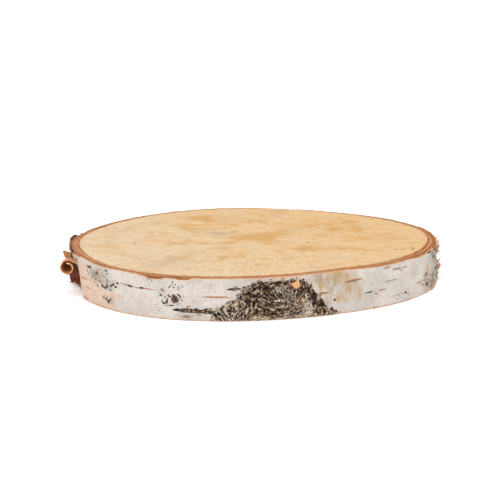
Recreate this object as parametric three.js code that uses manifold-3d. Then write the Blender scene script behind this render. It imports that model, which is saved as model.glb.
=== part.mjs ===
// A slice sawn across a birch log, lying on its lower sawn face.
// Millimetres, +Z up. The origin is the middle of the lower face, and bearings
// are degrees round the log: 0 faces -Y, the front, and +90 faces +X, the right.
import * as THREE from 'three';
import Module from 'manifold-3d';
import { mergeVertices } from 'three/addons/utils/BufferGeometryUtils.js';

// Driving dimensions of the slice.
const MEAN_RADIUS = 125;
const THICKNESS = 28.5;
const RIM_BREAK = 0.5;
// The log isn't round: each swelling repeats `waves` times round the outline.
const OUTLINE_SWELLINGS = [
  { waves: 2, height: 4.2, crest: -52 },
  { waves: 3, height: 3.3, crest: -32 },
  { waves: 5, height: 0.9, crest: -25 },
];

// Rounded bumps on the side: a healed branch scar low on the front, the hollow
// in the rim beside it, and the left side, where the bark has lifted and leans out.
const SIDE_BUMPS = [
  { bearing: 14, halfWidth: 19, level: 9, halfHeight: 10, height: 2.2 },
  { bearing: 29, halfWidth: 11, level: 31, halfHeight: 14, height: -3 },
  { bearing: -93, halfWidth: 14, level: 10, halfHeight: 19, height: 3 },
];

// The peeled strip leaves the left side under the rim and rolls up outwards.
const ROLL = {
  outerRadius: 4.5, innerRadius: 2.2, turns: 1.4, bark: 0.9,
  frontX: -124.6, frontY: -50, level: 19.4, length: 38, lean: 4, root: 10,
};

// How finely the curved surfaces are faceted.
const COLUMNS = 144;
const LEVELS = 9;
const ROLL_STEPS = 30;

const radians = THREE.MathUtils.degToRad;

/** Radius of the bare outline at a bearing. */
function outlineRadius(bearing) {
  return OUTLINE_SWELLINGS.reduce(
    (radius, { waves, height, crest }) => radius + height * Math.cos(waves * radians(bearing - crest)),
    MEAN_RADIUS,
  );
}

/** How far the side bumps stand out at a bearing and level. */
function bumpHeight(bearing, level) {
  return SIDE_BUMPS.reduce((out, bump) => {
    const across = (bearing - bump.bearing) / bump.halfWidth;
    const up = (level - bump.level) / bump.halfHeight;
    return out + bump.height * Math.exp(-across * across - up * up);
  }, 0);
}

/** Point of the side, brought in by `inset` where the rim is broken. */
function sidePoint(bearing, level, inset) {
  const radius = outlineRadius(bearing) + bumpHeight(bearing, level) - inset;
  return [radius * Math.sin(radians(bearing)), -radius * Math.cos(radians(bearing)), level];
}

/** Closed body of the slice: rings of points joined from the lower face to the upper one. */
function sliceGeometry() {
  const rows = [{ level: 0, inset: RIM_BREAK }];
  for (let step = 0; step <= LEVELS; step += 1) {
    rows.push({ level: RIM_BREAK + (THICKNESS - 2 * RIM_BREAK) * (step / LEVELS), inset: 0 });
  }
  rows.push({ level: THICKNESS, inset: RIM_BREAK });

  const positions = [0, 0, 0];
  for (const { level, inset } of rows) {
    for (let column = 0; column < COLUMNS; column += 1) {
      positions.push(...sidePoint((column / COLUMNS) * 360 - 180, level, inset));
    }
  }
  positions.push(0, 0, THICKNESS);

  const lowerMiddle = 0;
  const upperMiddle = positions.length / 3 - 1;
  const at = (row, column) => 1 + row * COLUMNS + (column % COLUMNS);
  const top = rows.length - 1;
  const faces = [];
  for (let column = 0; column < COLUMNS; column += 1) {
    faces.push(lowerMiddle, at(0, column + 1), at(0, column));
    faces.push(upperMiddle, at(top, column), at(top, column + 1));
    for (let row = 0; row < top; row += 1) {
      faces.push(at(row, column), at(row, column + 1), at(row + 1, column + 1));
      faces.push(at(row, column), at(row + 1, column + 1), at(row + 1, column));
    }
  }
  const geometry = new THREE.BufferGeometry();
  geometry.setAttribute('position', new THREE.Float32BufferAttribute(positions, 3));
  geometry.setIndex(faces);
  return geometry;
}

/** The peeled strip: a band that winds in on itself, extruded along the log's side. */
function rollGeometry() {
  const band = (offset) => {
    const points = [];
    for (let step = 0; step <= ROLL_STEPS; step += 1) {
      const along = step / ROLL_STEPS;
      const turn = Math.PI / 2 + along * ROLL.turns * 2 * Math.PI;
      const radius = THREE.MathUtils.lerp(ROLL.outerRadius, ROLL.innerRadius, along) - offset;
      points.push(new THREE.Vector2(radius * Math.cos(turn), radius * Math.sin(turn)));
    }
    return points;
  };
  const outer = band(0);
  const inner = band(ROLL.bark);
  const section = new THREE.Shape([
    new THREE.Vector2(ROLL.root, ROLL.outerRadius - ROLL.bark),
    new THREE.Vector2(ROLL.root, ROLL.outerRadius),
    ...outer,
    ...inner.reverse(),
  ]);
  const geometry = new THREE.ExtrudeGeometry(section, {
    depth: ROLL.length, bevelEnabled: false, steps: 1,
  });
  // The section's plane is stood up and the strip laid along the log's side.
  geometry.rotateX(Math.PI / 2);
  geometry.translate(0, ROLL.length, 0);
  geometry.rotateZ(radians(ROLL.lean));
  geometry.translate(ROLL.frontX, ROLL.frontY, ROLL.level);
  return geometry;
}

const wasm = await Module();
wasm.setup();

/** Solid of a closed geometry, with only its positions kept. */
function solidFrom(geometry) {
  geometry.deleteAttribute('normal');
  geometry.deleteAttribute('uv');
  const merged = mergeVertices(geometry);
  return new wasm.Manifold(new wasm.Mesh({
    numProp: 3,
    vertProperties: new Float32Array(merged.attributes.position.array),
    triVerts: new Uint32Array(merged.index.array),
  }));
}

/** Geometry of a solid, for a mesh. */
function geometryFrom(solid) {
  const mesh = solid.getMesh();
  const geometry = new THREE.BufferGeometry();
  geometry.setAttribute('position', new THREE.BufferAttribute(mesh.vertProperties, 3));
  geometry.setIndex(new THREE.BufferAttribute(mesh.triVerts, 1));
  geometry.computeVertexNormals();
  return geometry;
}

// The slice and its rolled strip are one piece of the tree, so they are one solid.
const sliceSolid = solidFrom(sliceGeometry()).add(solidFrom(rollGeometry()));
const birchWood = new THREE.MeshStandardMaterial({ color: 0xdcc4a0, roughness: 0.85, metalness: 0 });
const slice = new THREE.Mesh(geometryFrom(sliceSolid), birchWood);
slice.name = 'birch_slice';

const birchSlice = new THREE.Group();
birchSlice.add(slice);

export default birchSlice;
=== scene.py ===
"""Looks of a birch slice: sawn wood, its inner bark, and the papery white bark round it.

Sizes are in millimetres until a mesh is written, and metres in Blender. Bearings are degrees
round the log: 0 faces -Y, the front, and +90 faces +X, the right. Levels are heights above the
lower sawn face.
"""

from __future__ import annotations

import logging
import math
from dataclasses import dataclass
from enum import Enum
from itertools import product
from typing import Any, Callable, Iterable

import bpy
import numpy as np
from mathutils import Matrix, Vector


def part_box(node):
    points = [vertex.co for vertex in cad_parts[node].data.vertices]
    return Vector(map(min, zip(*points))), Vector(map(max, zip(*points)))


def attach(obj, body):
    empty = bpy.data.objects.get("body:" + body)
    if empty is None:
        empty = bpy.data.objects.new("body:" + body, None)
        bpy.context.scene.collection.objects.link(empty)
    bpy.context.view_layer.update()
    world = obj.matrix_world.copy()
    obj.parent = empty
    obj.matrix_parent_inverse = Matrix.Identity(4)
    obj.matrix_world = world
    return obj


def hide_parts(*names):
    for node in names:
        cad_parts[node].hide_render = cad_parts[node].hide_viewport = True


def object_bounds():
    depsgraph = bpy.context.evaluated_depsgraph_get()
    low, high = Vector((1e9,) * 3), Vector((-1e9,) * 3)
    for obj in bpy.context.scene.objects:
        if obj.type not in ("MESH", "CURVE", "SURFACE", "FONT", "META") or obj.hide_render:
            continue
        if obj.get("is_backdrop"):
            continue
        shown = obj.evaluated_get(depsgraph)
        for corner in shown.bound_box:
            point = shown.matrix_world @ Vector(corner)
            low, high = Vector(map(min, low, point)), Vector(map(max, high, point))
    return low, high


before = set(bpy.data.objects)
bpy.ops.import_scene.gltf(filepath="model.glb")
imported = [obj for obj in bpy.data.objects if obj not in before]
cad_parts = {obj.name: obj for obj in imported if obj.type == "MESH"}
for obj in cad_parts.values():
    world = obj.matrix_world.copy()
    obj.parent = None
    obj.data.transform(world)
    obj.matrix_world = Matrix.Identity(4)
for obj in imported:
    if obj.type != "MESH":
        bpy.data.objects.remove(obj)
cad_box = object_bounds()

CAD_NODE = "birch_slice"
MM = 0.001
DEGREE = math.pi / 180
WOOD_IOR = 1.5
# A pattern's size, one number for all axes or one for each.
Size = float | tuple[float, float, float]
log = logging.getLogger("birch_slice")
# How far apart the layers of a noise are read, and what brings their sum back to -1 to 1.
LAYER_STEP = 17.3
LAYER_SHARE = 0.7


class Slot(Enum):
    """The record's material slots."""

    WOOD = "birch_wood"
    BARK = "birch_bark"


class Tone(Enum):
    """What a mark in the bark is coloured like; the value is its channel in `marks`."""

    GREY = 0
    BLACK = 1
    RED = 2


class Tint(Enum):
    """What a wide stain in the bark is coloured like; the value is its channel in `tints`."""

    PEACH = 0
    TAN = 1
    ASH = 2


# ---------------------------------------------------------------- colour and nodes


def linear(hex_colour: str) -> tuple[float, float, float, float]:
    """Turns an sRGB hex colour into the linear colour that shaders take.

    Args:
        hex_colour: six hex digits, with or without a leading #.

    Returns:
        Linear red, green, blue and an alpha of 1.
    """
    digits = hex_colour.lstrip("#")
    channels = [int(digits[i : i + 2], 16) / 255 for i in (0, 2, 4)]
    parts = [c / 12.92 if c <= 0.04045 else ((c + 0.055) / 1.055) ** 2.4 for c in channels]
    return parts[0], parts[1], parts[2], 1.0


class Node(Enum):
    """A shader node as the finishes use it: its type, its settings, its inputs in order, its output."""

    PLACE = ("TexCoord", {}, (), "Object")
    COLOUR_ATTRIBUTE = ("Attribute", {}, (), "Color")
    PLAIN_ATTRIBUTE = ("Attribute", {}, (), "Fac")
    SPLIT = ("SeparateColor", {}, (0,), 0)
    FROM_X = ("CombineXYZ", {}, ("X",), 0)
    FROM_Z = ("CombineXYZ", {}, ("Z",), 0)
    MOVE = ("VectorMath", {"operation": "ADD"}, (0, 1), 0)
    MOVE_BACK = ("VectorMath", {"operation": "SUBTRACT"}, (0, 1), 0)
    STRETCH = ("VectorMath", {"operation": "MULTIPLY"}, (0, 1), 0)
    LENGTH = ("VectorMath", {"operation": "LENGTH"}, (0,), "Value")
    AIM = ("VectorMath", {"operation": "NORMALIZE"}, (0,), 0)
    DISTANCE = ("VectorMath", {"operation": "DISTANCE"}, (0, 1), "Value")
    NOISE = ("TexNoise", {"noise_dimensions": "3D"}, ("Vector", "Scale", "Detail", "Roughness"), 0)
    CELL_EDGES = ("TexVoronoi", {"feature": "DISTANCE_TO_EDGE"}, ("Vector", "Scale"), "Distance")
    SUM = ("Math", {"operation": "ADD"}, (0, 1), 0)
    LESS = ("Math", {"operation": "SUBTRACT"}, (0, 1), 0)
    TIMES = ("Math", {"operation": "MULTIPLY"}, (0, 1), 0)
    OVER = ("Math", {"operation": "DIVIDE"}, (0, 1), 0)
    TIMES_PLUS = ("Math", {"operation": "MULTIPLY_ADD"}, (0, 1, 2), 0)
    SPAN = ("MapRange", {"interpolation_type": "SMOOTHSTEP"}, (0, 1, 2, 3, 4), 0)
    RAMP = ("ValToRGB", {}, (0,), 0)
    MIX = ("Mix", {"data_type": "RGBA"}, (0, 6, 7), 2)
    BUMP = ("Bump", {}, ("Height", "Distance", "Strength"), 0)
    SURFACE = ("BsdfPrincipled", {}, ("Base Color", "Roughness", "Normal", "Specular IOR Level", "IOR"), 0)
    LIT_SURFACE = (
        "BsdfPrincipled",
        {},
        ("Base Color", "Roughness", "Specular IOR Level", "Emission Color", "Emission Strength"),
        0,
    )
    OUTPUT = ("OutputMaterial", {}, (0,), None)


class Shader:
    """A material's node tree, built one node at a time."""

    def __init__(self, name: str) -> None:
        """Makes an empty material.

        Args:
            name: the material's name, for what the surface really is.
        """
        self.material = bpy.data.materials.new(name)
        self.material.use_nodes = True
        self.tree = self.material.node_tree
        self.tree.nodes.clear()

    def add(self, kind: Node, *values: Any, ramp: Iterable[tuple[float, str]] = (), **settings: Any) -> Any:
        """Adds a node, with its settings and its links.

        Args:
            kind: which node.
            values: its inputs in order, each a number, hex digits or the socket that feeds it.
            ramp: a colour ramp's stops, as place and hex colour.
            settings: more of the node's own properties.

        Returns:
            The socket of its result.
        """
        name, fixed, sockets, output = kind.value
        node = self.tree.nodes.new("ShaderNode" + name)
        for key, value in {**fixed, **settings}.items():
            setattr(node, key, value)
        for index, (place, colour) in enumerate(ramp):
            stops = node.color_ramp.elements
            stop = stops[index] if index < 2 else stops.new(place)
            stop.position = place
            stop.color = linear(colour)
        for socket, value in zip(sockets, values):
            if isinstance(value, bpy.types.NodeSocket):
                self.tree.links.new(value, node.inputs[socket])
            else:
                node.inputs[socket].default_value = linear(value) if isinstance(value, str) else value
        return None if output is None else node.outputs[output]

    def lumps(self, place: Any, size: Size, detail: float = 3, rough: float = 0.55) -> Any:
        """Adds noise whose lumps have a real size.

        Args:
            place: the socket that it is read at, in metres.
            size: a lump's size in millimetres, one for all axes or one for each.
            detail: how many finer layers it has.
            rough: how strong the finer layers are.

        Returns:
            The noise's 0 to 1 socket.
        """
        sizes = size if isinstance(size, tuple) else (size, size, size)
        counted = self.add(Node.STRETCH, place, tuple(1 / (one * MM) for one in sizes))
        return self.add(Node.NOISE, counted, 1.0, detail, rough)

    def channels(self, attribute: str) -> tuple[Any, Any, Any]:
        """Reads a colour attribute of the mesh.

        Args:
            attribute: its name.

        Returns:
            The sockets of its red, green and blue.
        """
        colour = self.add(Node.COLOUR_ATTRIBUTE, attribute_name=attribute)
        red, green, blue = self.add(Node.SPLIT, colour).node.outputs
        return red, green, blue

    def finish(
        self, colour: Any, roughness: Any, relief: Any, depth: float, gloss: float
    ) -> bpy.types.Material:
        """Joins the colour, roughness and relief into the surface.

        Args:
            colour: the base colour's socket.
            roughness: the roughness socket or number.
            relief: the height socket, 0 to 1.
            depth: what a relief of 1 stands for, in millimetres.
            gloss: the specular level.

        Returns:
            The finished material.
        """
        bump = self.add(Node.BUMP, relief, depth * MM, 1.0)
        self.add(Node.OUTPUT, self.add(Node.SURFACE, colour, roughness, bump, gloss, WOOD_IOR))
        return self.material


# ---------------------------------------------------------------- noise and meshes


class Noise:
    """Seeded gradient noise, for what is too large or too deep for a material."""

    def __init__(self, seed: int) -> None:
        """Shuffles the lattice.

        Args:
            seed: which pattern it gives.
        """
        rng = np.random.default_rng(seed)
        self.order = rng.permutation(256)
        slopes = rng.normal(size=(256, 3))
        self.slopes = slopes / np.linalg.norm(slopes, axis=1, keepdims=True)

    def at(self, x: Any, y: Any, z: Any = 0.0) -> np.ndarray:
        """Reads the noise.

        Args:
            x: first coordinate, with one lump about every unit.
            y: second coordinate.
            z: third coordinate.

        Returns:
            Values from about -1 to 1.
        """
        points = np.stack(np.broadcast_arrays(x, y, z), -1).astype(float)
        cell = np.floor(points).astype(int)
        part = points - cell
        ease = part**3 * (part * (part * 6 - 15) + 10)
        total = np.zeros(points.shape[:-1])
        for corner in product((0, 1), repeat=3):
            i, j, k = np.moveaxis((cell + corner) & 255, -1, 0)
            slope = self.slopes[self.order[(self.order[(self.order[i] + j) & 255] + k) & 255]]
            weight = np.prod(np.where(corner, ease, 1 - ease), -1)
            total += weight * np.sum(slope * (part - corner), -1)
        return total * 1.7

    def layers(self, x: Any, y: Any, z: Any = 0.0, count: int = 3, fade: float = 0.5) -> np.ndarray:
        """Adds up finer and finer noise.

        Args:
            x: first coordinate.
            y: second coordinate.
            z: third coordinate.
            count: number of layers, each twice as fine as the last.
            fade: how strong each layer is beside the last.

        Returns:
            Values from about -1 to 1.
        """
        total = np.zeros(np.broadcast(x, y, z).shape)
        for layer in range(count):
            at_x, at_y, at_z = (np.multiply(one, 2.0**layer) for one in (x, y, z))
            total = total + fade**layer * self.at(at_x + LAYER_STEP * layer, at_y, at_z)
        return total * LAYER_SHARE


def smooth(value: np.ndarray, low: float, high: float) -> np.ndarray:
    """Eases from 0 at `low` to 1 at `high`.

    Args:
        value: the numbers to map.
        low: where the result is 0.
        high: where the result is 1.

    Returns:
        Numbers from 0 to 1.
    """
    t = np.clip((value - low) / (high - low), 0, 1)
    return t * t * (3 - 2 * t)


def between(a: Any, b: Any, share: Any) -> Any:
    """Number a share of the way from one to another."""
    return a + (b - a) * share


def add_primitive(operator: Callable[..., Any], name: str, **sizes: Any) -> bpy.types.Object:
    """Adds a primitive with nothing else selected.

    Args:
        operator: the bpy.ops.mesh primitive operator.
        name: the new piece's name.
        sizes: the operator's own settings.

    Returns:
        The new object, selected and active.
    """
    bpy.ops.object.select_all(action="DESELECT")
    operator(**sizes)
    piece = bpy.context.active_object
    piece.name = piece.data.name = name
    return piece


def points_of(piece: bpy.types.Object) -> np.ndarray:
    """Vertices of a piece.

    Args:
        piece: the object.

    Returns:
        An array of one row per vertex, in metres.
    """
    flat = np.zeros(len(piece.data.vertices) * 3)
    piece.data.vertices.foreach_get("co", flat)
    return flat.reshape(-1, 3)


def shape(piece: bpy.types.Object, points_mm: np.ndarray) -> None:
    """Moves a piece's vertices.

    Args:
        piece: the object.
        points_mm: the new places, in millimetres.
    """
    piece.data.vertices.foreach_set("co", (points_mm * MM).ravel())
    piece.data.update()


def paint(piece: bpy.types.Object, attribute: str, *channels: np.ndarray) -> None:
    """Stores up to three numbers at each vertex, as a colour attribute.

    Args:
        piece: the object.
        attribute: the attribute's name.
        channels: the numbers, from 0 to 1.
    """
    count = len(piece.data.vertices)
    colour = np.ones((count, 4), np.float32)
    colour[:, :3] = 0
    for index, channel in enumerate(channels):
        colour[:, index] = np.clip(channel, 0, 1)
    layer = piece.data.attributes.new(attribute, "FLOAT_COLOR", "POINT")
    layer.data.foreach_set("color", colour.ravel())


def corners_of(piece: bpy.types.Object) -> tuple[np.ndarray, np.ndarray]:
    """Corners of a piece's faces.

    Args:
        piece: the object.

    Returns:
        The vertex at each corner, and the first corner of each face.
    """
    mesh = piece.data
    vertices = np.zeros(len(mesh.loops), int)
    mesh.loops.foreach_get("vertex_index", vertices)
    starts = np.zeros(len(mesh.polygons), int)
    mesh.polygons.foreach_get("loop_start", starts)
    return vertices, starts


def lay_out(piece: bpy.types.Object, uv_of_corner: Callable[[np.ndarray, np.ndarray], np.ndarray]) -> None:
    """Writes the map that the piece's patterns are baked on.

    Args:
        piece: the object.
        uv_of_corner: gives the map's places from each corner's vertex and face numbers.
    """
    mesh = piece.data
    while mesh.uv_layers:
        mesh.uv_layers.remove(mesh.uv_layers[0])
    layer = mesh.uv_layers.new(name="OFBake")
    vertices, starts = corners_of(piece)
    faces = np.searchsorted(starts, np.arange(len(vertices)), side="right") - 1
    layer.data.foreach_set("uv", uv_of_corner(vertices, faces).astype(np.float32).ravel())


def face_middles(piece: bpy.types.Object, values: np.ndarray) -> np.ndarray:
    """Averages a vertex value over each face.

    Args:
        piece: the object.
        values: one number per vertex.

    Returns:
        One number per face.
    """
    vertices, starts = corners_of(piece)
    counts = np.diff(np.append(starts, len(vertices)))
    return np.add.reduceat(values[vertices], starts) / counts


def apply_modifier(piece: bpy.types.Object, kind: str, **settings: Any) -> None:
    """Adds a modifier and applies it.

    Args:
        piece: the object.
        kind: the modifier's type.
        settings: its settings.
    """
    bpy.ops.object.select_all(action="DESELECT")
    piece.select_set(True)
    bpy.context.view_layer.objects.active = piece
    modifier = piece.modifiers.new(kind.title(), kind)
    for name, value in settings.items():
        setattr(modifier, name, value)
    bpy.ops.object.modifier_apply(modifier=modifier.name)


def edit(piece: bpy.types.Object, *operators: Callable[[], Any]) -> None:
    """Runs edit mode operators on the whole of a piece.

    Args:
        piece: the object.
        operators: the operators, in order.
    """
    bpy.ops.object.select_all(action="DESELECT")
    piece.select_set(True)
    bpy.context.view_layer.objects.active = piece
    bpy.ops.object.mode_set(mode="EDIT")
    bpy.ops.mesh.select_all(action="SELECT")
    for operator in operators:
        operator()
    bpy.ops.object.mode_set(mode="OBJECT")


def put_on_frame(piece: bpy.types.Object, slot: Slot, material: bpy.types.Material) -> None:
    """Dresses a piece and ties it to the slice's body.

    Args:
        piece: the object.
        slot: the record's slot that the piece belongs to; not used.
        material: the finish.
    """
    piece.data.materials.clear()
    piece.data.materials.append(material)
    piece.data.polygons.foreach_set("use_smooth", np.ones(len(piece.data.polygons), bool))
    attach(piece, "root")
    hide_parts(CAD_NODE)
    log.info("%s: %d faces", piece.name, len(piece.data.polygons))


# ---------------------------------------------------------------- the log


@dataclass(frozen=True)
class Swelling:
    """A swelling that repeats `waves` times round the outline."""

    waves: int
    height: float
    crest: float


@dataclass(frozen=True)
class Bump:
    """A rounded bump or hollow on the side of the log."""

    bearing: float
    half_width: float
    level: float
    half_height: float
    height: float

    def at(self, bearing: np.ndarray, level: np.ndarray) -> np.ndarray:
        """How far it stands out.

        Args:
            bearing: degrees round the log.
            level: heights.

        Returns:
            Millimetres outwards.
        """
        across = turn_to(bearing, self.bearing) / self.half_width
        up = (level - self.level) / self.half_height
        return self.height * np.exp(-(across**2) - up**2)


def turn_to(bearing: np.ndarray, middle: float) -> np.ndarray:
    """Degrees from a middle bearing, from -180 to 180."""
    return (bearing - middle + 180) % 360 - 180


@dataclass(frozen=True)
class Trunk:
    """The log that the slice is sawn from: its outline, its bark's thickness and its torn place."""

    floor: float
    thickness: float
    mean_radius: float = 125.0
    paper: float = 1.1
    inner_bark: float = 5.6
    pith: tuple[float, float] = (5.0, 15.0)
    swellings: tuple[Swelling, ...] = (Swelling(2, 4.2, -52), Swelling(3, 3.3, -32), Swelling(5, 0.9, -25))
    # The branch scar's swell, the dip beside it, the lifted left side and the flatter right side.
    bumps: tuple[Bump, ...] = (
        Bump(14, 19, 9, 10, 2.2),
        Bump(29, 11, 31, 14, -3.0),
        Bump(-90, 17, 19, 21, 2.9),
        Bump(92, 20, 27, 14, -1.1),
    )
    # The torn place: its front edge as level and bearing, and its upper edge and its broken foot
    # as bearing and level.
    tear: tuple[tuple[float, float], ...] = ((0, -62.6), (4, -63.6), (10, -65), (16, -66), (21, -68))
    tear_top: tuple[tuple[float, float], ...] = (
        (-106, 29), (-76.5, 29), (-75, 25.0), (-72.5, 21.8), (-68, 20.4), (-60, 19.0),
    )
    foot: tuple[tuple[float, float], ...] = (
        (-90, -2), (-86, 0.5), (-80, 2.8), (-75, 4.6), (-72.5, 4.2), (-70.5, 1.6), (-68.5, 0.2), (-66, -2),
    )
    tear_back: float = -106

    def radius(self, bearing: np.ndarray, level: np.ndarray) -> np.ndarray:
        """Radius of the bark's surface before its own relief.

        Args:
            bearing: degrees round the log.
            level: heights.

        Returns:
            Millimetres.
        """
        total = np.full(np.broadcast(bearing, level).shape, self.mean_radius)
        for one in self.swellings:
            total = total + one.height * np.cos(one.waves * DEGREE * (bearing - one.crest))
        for bump in self.bumps:
            total = total + bump.at(bearing, level)
        return total

    def torn(self, bearing: np.ndarray, level: np.ndarray) -> np.ndarray:
        """Where the white bark has been torn off the left side.

        Args:
            bearing: degrees round the log.
            level: heights.

        Returns:
            0 where the bark is whole to 1 where it is gone.
        """
        ragged = Noise(11)
        levels, bearings = zip(*self.tear)
        edge = np.interp(level, levels, bearings) + 0.5 * ragged.layers(level / 2.2, 3.1, bearing * 0)
        top = np.interp(turn_to(bearing, 0), *zip(*self.tear_top)) + 0.6 * ragged.layers(bearing / 2.5, 8.7)
        front = smooth(edge - bearing, -0.15, 0.15)
        back = smooth(bearing - self.tear_back - 2 * ragged.at(level / 4, 1.5), -0.15, 0.15)
        return front * back * smooth(top - level, -0.2, 0.2) * (np.abs(turn_to(bearing, -80)) < 60)

    def inner_radius(self, bearing: np.ndarray, level: np.ndarray) -> np.ndarray:
        """Radius of the inner bark's outer surface.

        Args:
            bearing: degrees round the log.
            level: heights.

        Returns:
            Millimetres.
        """
        hollow = Bump(-68, 9.5, 5.5, 13, 3.0).at(bearing, level) - Bump(-82, 9, 7, 10, 2.2).at(bearing, level)
        # The foot of the torn place has broken away.
        ragged = 1.3 * Noise(12).layers(bearing / 1.6, 5.5, 0, 3, 0.6)
        foot = np.interp(turn_to(bearing, 0), *zip(*self.foot)) + ragged
        gone = smooth(foot - level, -0.3, 0.3)
        sunk = hollow * self.torn(bearing, level) + 4.6 * gone
        # However deep it broke, some inner bark stays on the wood.
        return self.radius(bearing, level) - self.paper - np.minimum(sunk, 4.4)

    def ring_width(self, bearing: np.ndarray) -> np.ndarray:
        """Width of the inner bark's cut ring, wider at the left and right than behind."""
        wide = 0.8 * np.cos((bearing - 70) * DEGREE * 2) + 0.7 * np.cos((bearing - 20) * DEGREE)
        return self.inner_bark + wide + 0.5 * np.cos(5 * bearing * DEGREE + 1)

    def place(self, bearing: np.ndarray, radius: np.ndarray, level: np.ndarray) -> np.ndarray:
        """Points at a bearing, radius and level.

        Args:
            bearing: degrees round the log.
            radius: millimetres from the middle.
            level: heights above the lower face.

        Returns:
            One row per point, in millimetres.
        """
        x = radius * np.sin(bearing * DEGREE)
        y = -radius * np.cos(bearing * DEGREE)
        return np.stack(np.broadcast_arrays(x, y, level + self.floor), -1)


# ---------------------------------------------------------------- what grew in the bark


@dataclass(frozen=True)
class Mark:
    """A lens-shaped mark in the bark, such as a lenticel or a fleck, sized in millimetres."""

    bearing: float
    level: float
    length: float
    height: float
    tone: Tone
    rise: float = 0.0


@dataclass(frozen=True)
class Stain:
    """A wide soft stain in the bark, sized in millimetres."""

    bearing: float
    level: float
    half_length: float
    half_height: float
    tint: Tint
    strength: float


@dataclass(frozen=True)
class Knot:
    """A small round pock where a twig died back."""

    bearing: float
    level: float
    radius: float
    depth: float


def marks(tone: Tone, *rows: tuple[float, ...]) -> tuple[Mark, ...]:
    """Marks of one tone, each row giving its bearing, level, length and height, and maybe its rise."""
    return tuple(Mark(*row[:4], tone, *row[4:]) for row in rows)


def stains(tint: Tint, *rows: tuple[float, ...]) -> tuple[Stain, ...]:
    """Stains of one tint, each row giving its bearing, level, half length, half height and strength."""
    return tuple(Stain(*row[:4], tint, row[4]) for row in rows)


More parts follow.
